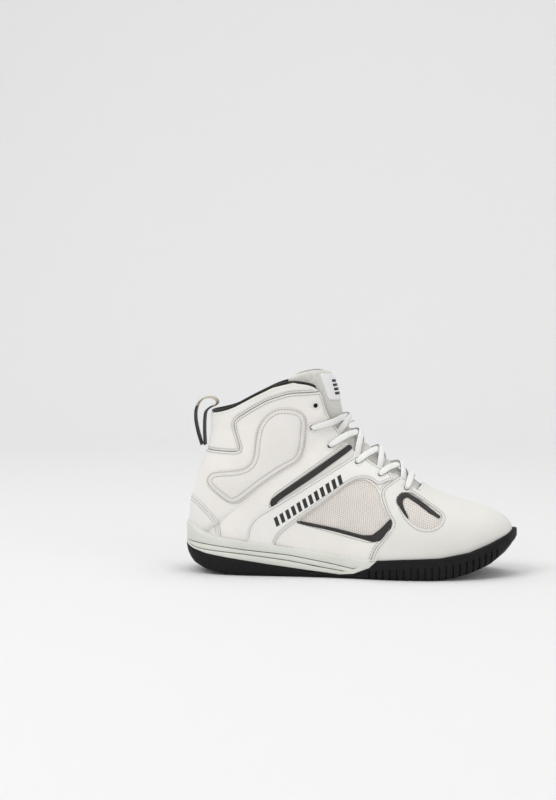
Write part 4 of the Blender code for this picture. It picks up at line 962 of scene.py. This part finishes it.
# Name, the CAD node it stands for, look, slot, pattern, and its thickness and edges
SIDE_PIECES = [
    ("window_net", "window_mesh", MESH, "mesh", piece([WINDOW_NET]),
     {"low": NET_IN, "high": NET_OUT, "edge": 0.2, "puff": 0.8, "puff_over": 14}),
    ("vent_net", "vent_mesh", MESH, "mesh", piece([VENT_NET]),
     {"low": NET_IN, "high": NET_OUT, "edge": 0.2, "puff": 0.8, "puff_over": 10}),
    ("window_edge", "window_strip", FILM, "film", piece([WINDOW_FILM]),
     {"low": 2.0, "high": 3.3, "edge": 0.4}),
    ("vent_edge", "vent_strip", FILM, "film", piece([VENT_FILM]), {"low": 2.0, "high": 3.35, "edge": 0.4}),
    ("stripe_base", "stripe_felt", FELT, "felt", piece([STRIPE]), {"high": 2.6, "edge": 0.3}),
    ("stripe_edge", "stripe_film", FILM, "film", piece([STRIPE_FILM]),
     {"low": 2.4, "high": 3.55, "edge": 0.5}),
    ("strap_skin", "strap", WHITE_LEATHER, "leather", strap_pattern,
     {"low": OVERLAY_IN, "high": OVERLAY_OUT, "edge": 0.9, "groove": (STRAP_SEWN,)}),
    ("pad_skin", "ankle_pad", PAD_LEATHER, "leather", pad_pattern,
     {"low": OVERLAY_IN, "high": 4.3, "edge": 1.0, "puff": 1.1, "puff_over": 11, "groove": PAD_SEWN}),
]  # fmt: skip
for name, side in SIDES.items():
    for part, node, look, slot, pattern, form in SIDE_PIECES:
        stands_for = [f"{node}_{name}"]
        made = panel(f"{part}_{name}", look, pattern, sides=(side,), stands_for=stands_for, slot=slot, **form)
heel_pattern = piece([HEEL_COVER], (), True, HEEL_SEWN)
panel("heel_skin", WHITE_LEATHER, heel_pattern, low=OVERLAY_IN, high=4.5, edge=0.9, stands_for=["heel_cover"],
      slot="leather", groove=HEEL_SEWN)  # fmt: skip

# Lining that rolls over the collar's rim
RIM_UP, RIM_ROLL = 2.4, 1.3
lining_front = rounded([(66, 100), (56, 70), (40, 40), (30, LOW)], 4, closed=False)
lining_zone = np.vstack([lining_front, [(-FAR, LOW), (-FAR, HIGH), (66, HIGH)]])
lacing_zone = np.array(
    [(60, 60), (42, 74), (28, 79), (8, 88), (-14, 100), (-30, 112), (-38, 127), (0, 150), (90, 130)]
)
lining_throat = np.vstack([moved(THROAT, 0.7), OPENING[len(THROAT) :]])


def rolled(pattern):
    """How far the lining's rim rolls outwards above the collar's edge."""
    return RIM_ROLL * (1 - eased((pattern.depth - 0.8) / 2.2))


rim_zone = under(moved(COLLAR_LINE, -RIM_UP))
rim_pattern = Pattern([rim_zone, lining_zone], [lining_throat, lacing_zone], True, (*BEND, 1.6, 2.4, 3.2))
panel("quarter_lining_skin", LINING, rim_pattern, low=-2.5, high=0.3, edge=1.6, low_edge=1.2, shape=rolled,
      stands_for=["quarter_lining"], slot="lining")  # fmt: skip


def crown(x):
    """How high the tongue stands in the middle, most of all at the throat's front end."""
    return 2.6 * np.clip((x + 10) / 40, 0.25, 1)


def bulged(pattern):
    """How far the tongue stands up between the eyestays."""
    p = section(pattern.at, -pattern.angle)[:, [0, 2]]
    far = np.linalg.norm(p[:, None] - THROAT[None, :, :], axis=-1).min(1)
    return np.where(inside(p, [OPENING]), crown(p[:, 0]) * eased(far / 4.0), 0.0)


tongue = panel(
    "tongue_skin", FLEECE, piece([TONGUE], (), True), body="tongue", low=-8.0, high=-3.6, edge=3.0,
    shape=bulged, stands_for=["tongue_cover", "tongue_foam"], slot="suede",
)  # fmt: skip
tongue_back = panel(
    "tongue_back", LINING, piece([TONGUE_BACK], (), True), body="tongue", low=-10.4, high=-8.0, edge=0.0,
    low_edge=2.2, stands_for=["tongue_lining"], slot="lining",
)  # fmt: skip
panel("tongue_patch", LABEL, piece([TONGUE_LABEL], (), True), body="tongue", low=-3.4, high=-2.1, edge=0.5,
      stands_for=["tongue_label"], slot="label")  # fmt: skip

# ---- Stitching -----------------------------------------------------------
def clear_of_sole(rows):
    """Only the runs above the sole's wall."""
    found = []
    for at, angle in rows:
        p = section(at, -angle)
        found += runs(at, angle, p[:, 2] > side_line(CUP_TOP, p[:, 0]) + 1.5, range(len(at)))
    return found


seam_rows = []
for at, angle in collar_pattern.rows(COLLAR_SEWN):
    p = section(at, -angle)[:, [0, 2]]
    near = np.linalg.norm(p[:, None] - SEAM_LINE[None], axis=-1).min(1) < 2.8
    if near.sum() > 3:
        seam_rows.append((at[near], angle[near]))
pad_rows = [row for depth in PAD_SEWN for row in pad_pattern.rows(depth)]
heel_rows = [row for depth in HEEL_SEWN for row in heel_pattern.rows(depth)]
stitches("stitching_pad", pad_rows, 4.75)
stitches("stitching_strap", clear_of_sole(strap_pattern.rows(STRAP_SEWN)), 4.5)
stitches("stitching_heel", clear_of_sole(heel_rows), 4.4)
stitches("stitching_vamp", clear_of_sole(vamp_pattern.rows(VAMP_SEWN)), 3.05)
stitches("stitching_collar", seam_rows, 3.0)
stitches("stitching_quarter", clear_of_sole(quarter_pattern.rows(QUARTER_SEWN)), 3.0)

# ---- Printed bars --------------------------------------------------------
def striped(start, along, lean, count, pitch, width, height):
    """A band of slanted bars: its outline, and the gaps to cut from it."""
    start, along, lean = (np.array(v, float) for v in (start, along, lean))

    def slab(first, last_one, below, above):
        low, high = start + along * first, start + along * last_one
        corners = [low - lean * below, high - lean * below, high + lean * above, low + lean * above]
        return resample(corners, 0.9, True)

    band = slab(0, pitch * (count - 1) + width, 0, height)
    gaps = [slab(pitch * k + width, pitch * (k + 1), 3, height + 3) for k in range(count - 1)]
    return band, gaps


# On the strap
band, gaps = striped((-64.5, 45.0), (0.838, 0.545), (-0.336, 0.955), 12, 6.2, 3.7, 8.4)
panel("strap_bars", PRINT, piece([band], gaps), sides=(LATERAL,), low=4.3, high=4.75, edge=0.15, slot="film")
# On the tongue's label
band, gaps = striped((-15.6, 178.4), (0.24, -0.97), (1.0, 0.08), 4, 4.0, 2.4, 40)
label_bars = piece([band, rounded([(-17.6, 181), (-11.4, 160), (40, 160), (40, 181)], 1)], gaps, True)
panel("label_bars", PRINT, label_bars, body="tongue", low=-2.6, high=-1.75, edge=0.15, slot="film")

# ---- Sole ----------------------------------------------------------------
def upper_tree(offset):
    """The upper's surface at a distance outside the last, for rays to hit."""
    at, angle = np.meshgrid(RING_AT[::2], np.concatenate([-ANGLES[::-2], ANGLES[::2][1:]]), indexing="ij")
    points = last(at, angle, np.full(at.shape, offset))
    rows, columns = at.shape
    index = np.arange(rows * columns).reshape(rows, columns)
    quads = np.stack([index[:-1, :-1], index[1:, :-1], index[1:, 1:], index[:-1, 1:]], -1).reshape(-1, 4)
    corners = [Vector(p) for p in points.reshape(-1, 3)]
    return BVHTree.FromPolygons(corners, [tuple(map(int, q)) for q in quads])


leather_tree, overlay_tree = upper_tree(LEATHER_OUT), upper_tree(OVERLAY_OUT)
RIB_LINE = [(14, 8.5), (48, 10), (75, 12), (102, 16), (119, 21), (133, 27)]
RIBBED = (14, 134)  # the stretch with ribs
RIB_PITCH, RIB_DEPTH = 6.3, 1.3
RIB_STEPS = ((0, 0), (2.2, 0), (4.55, 0), (4.8, 1), (6.05, 1))  # way along a rib, and whether in its groove
PLAIN_STEP = 1.7
UNDER_WEDGE, OVER_OUTSOLE = 0.12, 0.1  # the rubbers' distances from the line that parts them
THINNEST_WEDGE, GROOVE_RISE, GROOVE_APART = 0.6, 2.0, 2.4
GROOVES = [
    [(-160, 31.5), (-150, 30), (-130, 28), (-95, 24), (-54, 20), (-13, 13), (12, 8), (27, 4)],
    [(-160, 26.5), (-150, 25), (-130, 23), (-95, 20), (-54, 15), (-25, 10), (2, 6), (27, 0)],
]


def sole_path():
    """Stations round the sole's edge: (x, y), outward direction, and whether it is in a rib's groove."""
    edge = through(PLAN[LATERAL][:-1] + PLAN[MEDIAL][:0:-1], 12, closed=True)
    edge = resample(edge, 0.5, True)
    length = len(edge) * np.linalg.norm(edge[1] - edge[0])
    s = np.linspace(0, length, len(edge), endpoint=False)
    places, here = [], 0.0
    while here < length - 0.8:
        if RIBBED[0] < np.interp(here, s, edge[:, 0]) < RIBBED[1]:
            places += [(here + step, groove) for step, groove in RIB_STEPS]
            here += RIB_PITCH
        else:
            places.append((here, 0))
            here += PLAIN_STEP
    places, grooves = np.array([place for place in places if place[0] < length - 0.4], float).T
    xy = [np.interp(places, np.append(s, length), np.append(edge[:, k], edge[0, k])) for k in (0, 1)]
    ahead, behind = (places + 1.5) % length, (places - 1.5) % length
    forward = unit(np.stack([np.interp(ahead, s, c) - np.interp(behind, s, c) for c in edge.T], 1))
    return np.stack(xy, 1), np.stack([forward[:, 1], -forward[:, 0]], 1), grooves


def inset_of(xy, n, z):
    """How far inside the sole's edge the upper is."""
    tree = overlay_tree if xy[0] < -50 else leather_tree
    reach = 30.0
    start = Vector((xy[0] - n[0] * reach, xy[1] - n[1] * reach, z))
    hit, _, _, distance = tree.ray_cast(start, Vector((n[0], n[1], 0)))
    return reach - distance if hit else 2.0


def strip(name, look, rows, caps=()):
    """Joins rows of points, (rows, stations, 3), into a wall that caps close or else a bar along a path."""
    rows = np.asarray(rows)
    count, stations = rows.shape[:2]
    faces = []
    for r in range(count - (1 if caps else 0)):
        q = (r + 1) % count
        for k in range(stations - (0 if caps else 1)):
            j = (k + 1) % stations
            faces.append((r * stations + k, r * stations + j, q * stations + j, q * stations + k))
    points = list(rows.reshape(-1, 3))
    for row, height in caps:
        loop = rows[row]
        flat = [Vector(p[:2]) for p in loop]
        edges = [(k, (k + 1) % stations) for k in range(stations)]
        gx, gy = np.meshgrid(np.arange(-150, 152, 6.0), np.arange(-54, 54, 6.0))
        grid = np.stack([gx.ravel(), gy.ravel()], 1)
        reach = np.array([np.linalg.norm(loop[:, :2] - g, axis=1).min() for g in grid])
        grid = grid[inside(grid, [loop[:, :2]]) & (reach > 3)]
        flat += [Vector(g) for g in grid]
        verts, _, tris, source, *_ = delaunay_2d_cdt(flat, edges, [], 1, 1e-5, True)
        index = {}  # the wall's own points, and new ones inside
        for k, v in enumerate(verts):
            own = [o for o in source[k] if o < stations]
            if own:
                index[k] = row * stations + own[0]
            else:
                index[k] = len(points)
                points.append(np.array([v.x, v.y, height(v.x)]))
        faces += [tuple(index[v] for v in t) for t in tris]
    return face_out(mesh_object(name, points, faces, look, sharp=50))


xy, out, in_groove = sole_path()
x = xy[:, 0]
bottom, cup_top = side_line(SOLE_BOTTOM, x), side_line(CUP_TOP, x)
top = np.minimum(cup_top, side_line(WEDGE_FOOT, x) - UNDER_WEDGE)
upper = np.array([inset_of(p, n, z - 0.5) for p, n, z in zip(xy, out, cup_top, strict=True)])
upper_low = np.array([inset_of(p, n, z - 5) for p, n, z in zip(xy, out, cup_top, strict=True)])
upper, upper_low = np.clip(upper, 1.4, 14) + 0.5, np.clip(upper_low, 1.4, 16) + 0.5
rib = np.interp(x, *np.array(RIB_LINE, float).T)
rib = np.where(x < RIBBED[0], bottom + 6, rib)


def at_edge(inset, z):
    p = xy - out * np.broadcast_to(inset, x.shape)[:, None]
    return np.column_stack([p, np.broadcast_to(z, x.shape)])


def under_at(inset):
    return side_line(SOLE_BOTTOM, (xy - out * inset)[:, 0])


g = in_groove * RIB_DEPTH
# How far inside the edge and how high each row is, from the middle of the underside out, up and back in
outsole_rows = [
    (16.0, under_at(16.0) + 1.0),
    (15.2, under_at(15.2)),
    (5.0, under_at(5.0) + g * 0.9),
    (2.4 + g * 0.6, bottom + 0.35 + g * 0.7),
    (1.0 + g, bottom + 1.5 + g * 0.4),
    (0.25 + g, bottom + 3.6),
    (0.0 + g, np.maximum(rib - 0.7, bottom + 3.8)),
    (0.0, np.maximum(rib, bottom + 4.2)),
    (0.0, top - 1.5),
    (0.2, top - 0.5),
    (0.9, top),
    (upper, np.minimum(top, cup_top) - 0.1),
    (upper_low, np.minimum(top - 1.5, cup_top - 5)),
]
built = []
for number, (inset, z) in enumerate(outsole_rows):
    limit = top - 0.05 * (len(outsole_rows) - number)
    built.append(at_edge(inset, np.minimum(z, limit) if 2 < number < 9 else z))
floor_row = at_edge(np.maximum(upper_low, 3.0) + 1.0, 0)
floor_row[:, 2] = np.minimum(side_line(CUP_FLOOR, floor_row[:, 0]), built[-1][:, 2] - 0.2)
built.append(floor_row)
caps = [(0, lambda v: side_line(SOLE_BOTTOM, v) + 1.0), (len(built) - 1, lambda v: side_line(CUP_FLOOR, v))]
settled(strip("outsole_rubber", BLACK_RUBBER, built, caps), "shoe", ["outsole"])

# The wedge runs round the heel from one side's front end to the other's
order = np.roll(np.arange(len(x)), -((len(x) + 1) // 2))
order = order[side_line(WEDGE_FOOT, x[order]) + THINNEST_WEDGE < cup_top[order]]
wx, foot, head = x[order], side_line(WEDGE_FOOT, x[order]) + OVER_OUTSOLE, cup_top[order]
line_a, line_b = (np.interp(wx, *np.array(line, float).T) for line in GROOVES)
line_b = np.maximum(line_b, foot + GROOVE_RISE)
line_a = np.maximum(line_a, line_b + GROOVE_APART)
wedge_rows = [(3.0, foot), (0.5, foot), (0.05, foot + 0.5)]
groove_shares = []
for line, front in ((line_b, 1.0), (line_a, 12.0)):
    share = np.clip((front - wx) / 4, 0, 1)  # grooves fade out at their front ends
    groove_shares.append(share)
    for depth, up in ((0, -1.0), (0.25, -0.55), (1.0, -0.3), (1.0, 0.3), (0.25, 0.55), (0, 1.0)):
        wedge_rows.append((depth * share, line + up))
wedge_rows += [(0.0, head - 1.3), (0.35, head - 0.4), (1.1, head)]
wedge_rows += [(upper[order], head - 0.1), (upper_low[order], head - 5)]
built = []
for number, (inset, z) in enumerate(wedge_rows):
    left = len(wedge_rows) - number
    if left > 2:
        low = foot + 0.02 * number
        z = np.clip(z, low, np.maximum(head - 0.02 * left, low))
    p = xy[order] - out[order] * np.broadcast_to(inset, foot.shape)[:, None]
    built.append(np.column_stack([p, np.maximum(z, foot)]))
wedge = strip("midsole_rubber", WHITE_RUBBER, built)
count = len(order)
wedge.data.materials.append(GROOVE_SHADE_RUBBER)
# Groove floors take the darker rubber as painted shade in the recess
for polygon in wedge.data.polygons:
    rings = {v // count for v in polygon.vertices}
    for low_ring, share in zip((5, 11), groove_shares, strict=True):
        if rings == {low_ring, low_ring + 1} and min(share[v % count] for v in polygon.vertices) > 0.9:
            polygon.material_index = 1
ends = bmesh.new()
ends.from_mesh(wedge.data)
ends.verts.ensure_lookup_table()
for k in (0, count - 1):
    ends.faces.new([ends.verts[r * count + k] for r in range(len(built))])
bmesh.ops.recalc_face_normals(ends, faces=ends.faces)
ends.to_mesh(wedge.data)
ends.free()
settled(wedge, "shoe", ["midsole_wedge"])

# ---- Lace ----------------------------------------------------------------
LACE_WIDTH, LACE_THICK = 6.2, 1.7
LACE_TUCK = [(-36.5, 131.5), (-32, 123.5), (-24, 114.5)]
OVER, UNDER = OVERLAY_OUT + LACE_THICK / 2 + 0.1, -LACE_THICK / 2 - 0.2
ON_TONGUE = LACE_THICK / 2 - 3.0
STRAND_STEPS = 16


def throat_point(eyelet):
    return THROAT[np.linalg.norm(THROAT - eyelet, axis=1).argmin()]


def spot(point, side):
    """(station, signed angle) of a point of the side view on one side of the shoe."""
    at, angle = locate([point])
    return np.array([at[0], angle[0] * side])


def into(eyelet):
    """(station, signed angle, height, width) down through an eyelet."""
    return [(*eyelet, OVER - 0.3, 0.7), (*eyelet, 3.0, 0.6), (*eyelet, 0.4, 0.6)]


def strand(side, row, lift):
    """The same from an eyelet down, across the tongue, and over the far edge to the next eyelet."""
    eyelet, end = spot(EYELETS[row], side), spot(EYELETS[row + 1], -side)
    route = into(eyelet)
    throat = spot(throat_point(EYELETS[row + 1]), -side)
    edge = abs((throat[1] - end[1]) / (eyelet[1] - end[1]))
    for step in range(1, STRAND_STEPS):
        share = step / STRAND_STEPS
        middle = 1 - eased(abs(share - 0.5) / 0.25)
        low = ON_TONGUE + crown(EYELETS[row][0]) + 1.0 + 1.2 * math.sin(math.pi * share) + lift * middle
        low = UNDER - 0.2 + (low - UNDER + 0.2) * eased((share - edge * 0.8) / 0.22)
        high = eased((share - (1 - edge) + 0.16) / 0.16)
        width = 1.0 - 0.2 * max(1 - step / 2, 0)
        route.append((*(eyelet + (end - eyelet) * share), low + (OVER + 0.05 - low) * high, width))
    return route


def lace_half(start):
    """From one of the front eyelets up to the tucked end."""
    path, here = [], start
    for row in range(LACED - 1):
        path += strand(here, row, 2.0 if (row % 2 == 0) == (start == LATERAL) else 0.0)
        here = -here
    path += into(spot(EYELETS[LACED - 1], here))
    return path + [(*spot(place, here), UNDER - 0.3, 0.7) for place in LACE_TUCK]


first, second = spot(EYELETS[0], LATERAL), spot(EYELETS[0], MEDIAL)
bar = []
for step in range(1, 12):
    bar.append((*(first + (second - first) * step / 12), OVER - 1.6 * math.sin(math.pi * step / 12), 1.0))
route = np.array(lace_half(LATERAL)[::-1] + bar + lace_half(MEDIAL))
length = np.linalg.norm(np.diff(last(route[:, 0], route[:, 1], route[:, 2]), axis=0), axis=1)
length = np.concatenate([[0], np.cumsum(np.maximum(length, 0.2))])
fine = np.linspace(0, length[-1], int(length[-1] / 0.8))
route = np.column_stack([np.interp(fine, length, column) for column in route.T])
for _ in range(5):
    route[1:-1] = (route[:-2] + 2 * route[1:-1] + route[2:]) / 4
at, angle, height, widths = route.T
points, flat_line, normals = last(at, angle, height), last(at, angle, np.zeros(len(at))), normal_at(at, angle)
tangent = unit(np.gradient(points, axis=0))
aside = np.cross(np.gradient(flat_line, axis=0), normals)
for i in range(1, len(aside)):
    if aside[i] @ aside[i - 1] < 0:
        aside[i] *= -1
for _ in range(12):
    aside[1:-1] = (aside[:-2] + 2 * aside[1:-1] + aside[2:]) / 4
aside = unit(aside - tangent * (aside * tangent).sum(-1)[:, None])
normals = np.cross(aside, tangent)
turn = np.linspace(0, 2 * math.pi, 16, endpoint=False)
wide = np.sign(np.cos(turn)) * np.abs(np.cos(turn)) ** 0.75 * LACE_WIDTH / 2
high = np.sin(turn) * LACE_THICK / 2
ribbon = points[:, None] + wide[None, :, None] * widths[:, None, None] * aside[:, None]
ribbon = ribbon + high[None, :, None] * normals[:, None]
count, around = ribbon.shape[:2]
faces, tones = [], []
for i in range(count - 1):
    for j in range(around):
        k = (j + 1) % around
        faces.append((i * around + j, i * around + k, (i + 1) * around + k, (i + 1) * around + j))
        tones.append(1 if j in (15, 0, 7, 8) else 0)  # the lace's edges are dark: partly its black edge, partly painted shadow beneath the lace
faces += [tuple(range(around))[::-1], tuple((count - 1) * around + j for j in range(around))]
tones += [0, 0]
lace = face_out(mesh_object("lace_flat", ribbon.reshape(-1, 3), faces, [LACE, LACE_EDGE_AND_SHADE], indices=tones))
settled(lace, "shoe", ["lace"])

# ---- Pull loop -----------------------------------------------------------
LOOP_LINE = [
    (-136.0, 116.0), (-136.6, 128), (-136.4, 140), (-135.2, 147), (-131, 151.0), (-126.0, 153.2),
    (-124.4, 156.2), (-127, 159.4), (-133, 160.4), (-140, 157.5), (-144.2, 150), (-144.8, 140),
    (-142.6, 128), (-139.0, 116.0),
]  # fmt: skip
WEBBING_HALF, WEBBING_WIDE_HALF = 0.8, 8.0
CREAM_FROM = 0.1525  # height in metres
line = resample(through(LOOP_LINE, 6), 1.3, False)
side_way = unit(np.gradient(line, axis=0))
side_way = np.stack([-side_way[:, 1], side_way[:, 0]], 1)
wide = np.linspace(-1, 1, 11)
rows = []
for face in (1, -1):
    for w in wide if face == 1 else wide[::-1]:
        thin = WEBBING_HALF * (1 - 0.75 * abs(w) ** 6)
        p = line + side_way * thin * face
        rows.append(np.column_stack([p[:, 0], np.full(len(p), WEBBING_WIDE_HALF * w), p[:, 1]]))
loop = strip("pull_loop_webbing", BLACK_WEBBING, rows)
loop.data.materials.append(CREAM_WEBBING)
for polygon in loop.data.polygons:
    polygon.material_index = 1 if polygon.center.z > CREAM_FROM else 0
settled(loop, "pull_loop", ["pull_loop"])

# ---- Nodes that stay -----------------------------------------------------
KEPT = {
    "vamp_lining": LINING, "sockliner": LINING, "collar_foam": FOAM, "heel_foam": FOAM, "forefoot_foam": FOAM,
    "insole_board": BOARD, "shank": STEEL, "toe_puff": STIFFENER, "heel_counter": STIFFENER,
    "eyestay_backer_lateral": STIFFENER, "eyestay_backer_medial": STIFFENER, "aglet_lateral": AGLET,
    "aglet_medial": AGLET,
}  # fmt: skip
for node, look in KEPT.items():
    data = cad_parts[node].data
    data.materials.clear()
    data.materials.append(look)

# ---- Floor, light and camera ---------------------------------------------
def backdrop():
    """A floor that curves up into a wall behind the shoe."""
    profile = [(-14.0, 0.0), (1.2, 0.0)]
    for a in np.linspace(0.08, math.pi / 2, 16):
        profile.append((1.2 + 0.9 * math.sin(a), 0.9 * (1 - math.cos(a))))
    profile += [(2.1, 4.0)]
    points = [(x, y, z) for x in (-14.0, 14.0) for y, z in profile]
    n = len(profile)
    faces = [(i, i + 1, n + i + 1, n + i) for i in range(n - 1)]
    look = Look("backdrop", roughness=0.85, specular=0.2)
    look.colour(look.mix(look.noise(0.7, 2), (0.80, 0.80, 0.805), (0.815, 0.815, 0.82)))
    obj = mesh_object("backdrop", np.array(points) * 1000, [f[::-1] for f in faces], look.material)


def softbox(name, place, towards, size, power):
    light = bpy.data.lights.new(name, "AREA")
    light.shape = "RECTANGLE"
    light.size, light.size_y = size
    light.energy = power
    obj = bpy.data.objects.new(name, light)
    obj.location = place
    obj.rotation_euler = (Vector(towards) - Vector(place)).to_track_quat("-Z", "Y").to_euler()
    bpy.context.scene.collection.objects.link(obj)


backdrop()
softbox("key", (-1.3, -1.5, 2.1), (0, 0, 0.1), (1.4, 1.4), 26)
softbox("fill", (1.9, -1.8, 1.2), (0, 0, 0.1), (1.8, 1.8), 9)
softbox("top", (0.1, 0.3, 2.6), (0, 0, 0), (2.4, 2.0), 21)
scene = bpy.context.scene
scene.view_settings.view_transform = "Standard"
world = scene.world or bpy.data.worlds.new("world")
scene.world = world
world.use_nodes = True
sky = world.node_tree.nodes["Background"]
sky.inputs["Color"].default_value = (1, 1, 1, 1)
sky.inputs["Strength"].default_value = 0.6

azimuth, elevation, distance = math.radians(7), math.radians(4), 1.745
target = Vector((-0.068, 0, 0.158))
back = Vector((math.sin(azimuth), -math.cos(azimuth), 0)) * math.cos(elevation)
back.z = math.sin(elevation)
camera = bpy.data.cameras.new("camera")
camera.lens = 85
camera.sensor_width = 36
camera.clip_end = 50
seen = bpy.data.objects.new("camera", camera)
seen.location = target + back * distance
seen.rotation_euler = (-back).to_track_quat("-Z", "Y").to_euler()
scene.collection.objects.link(seen)
scene.camera = seen
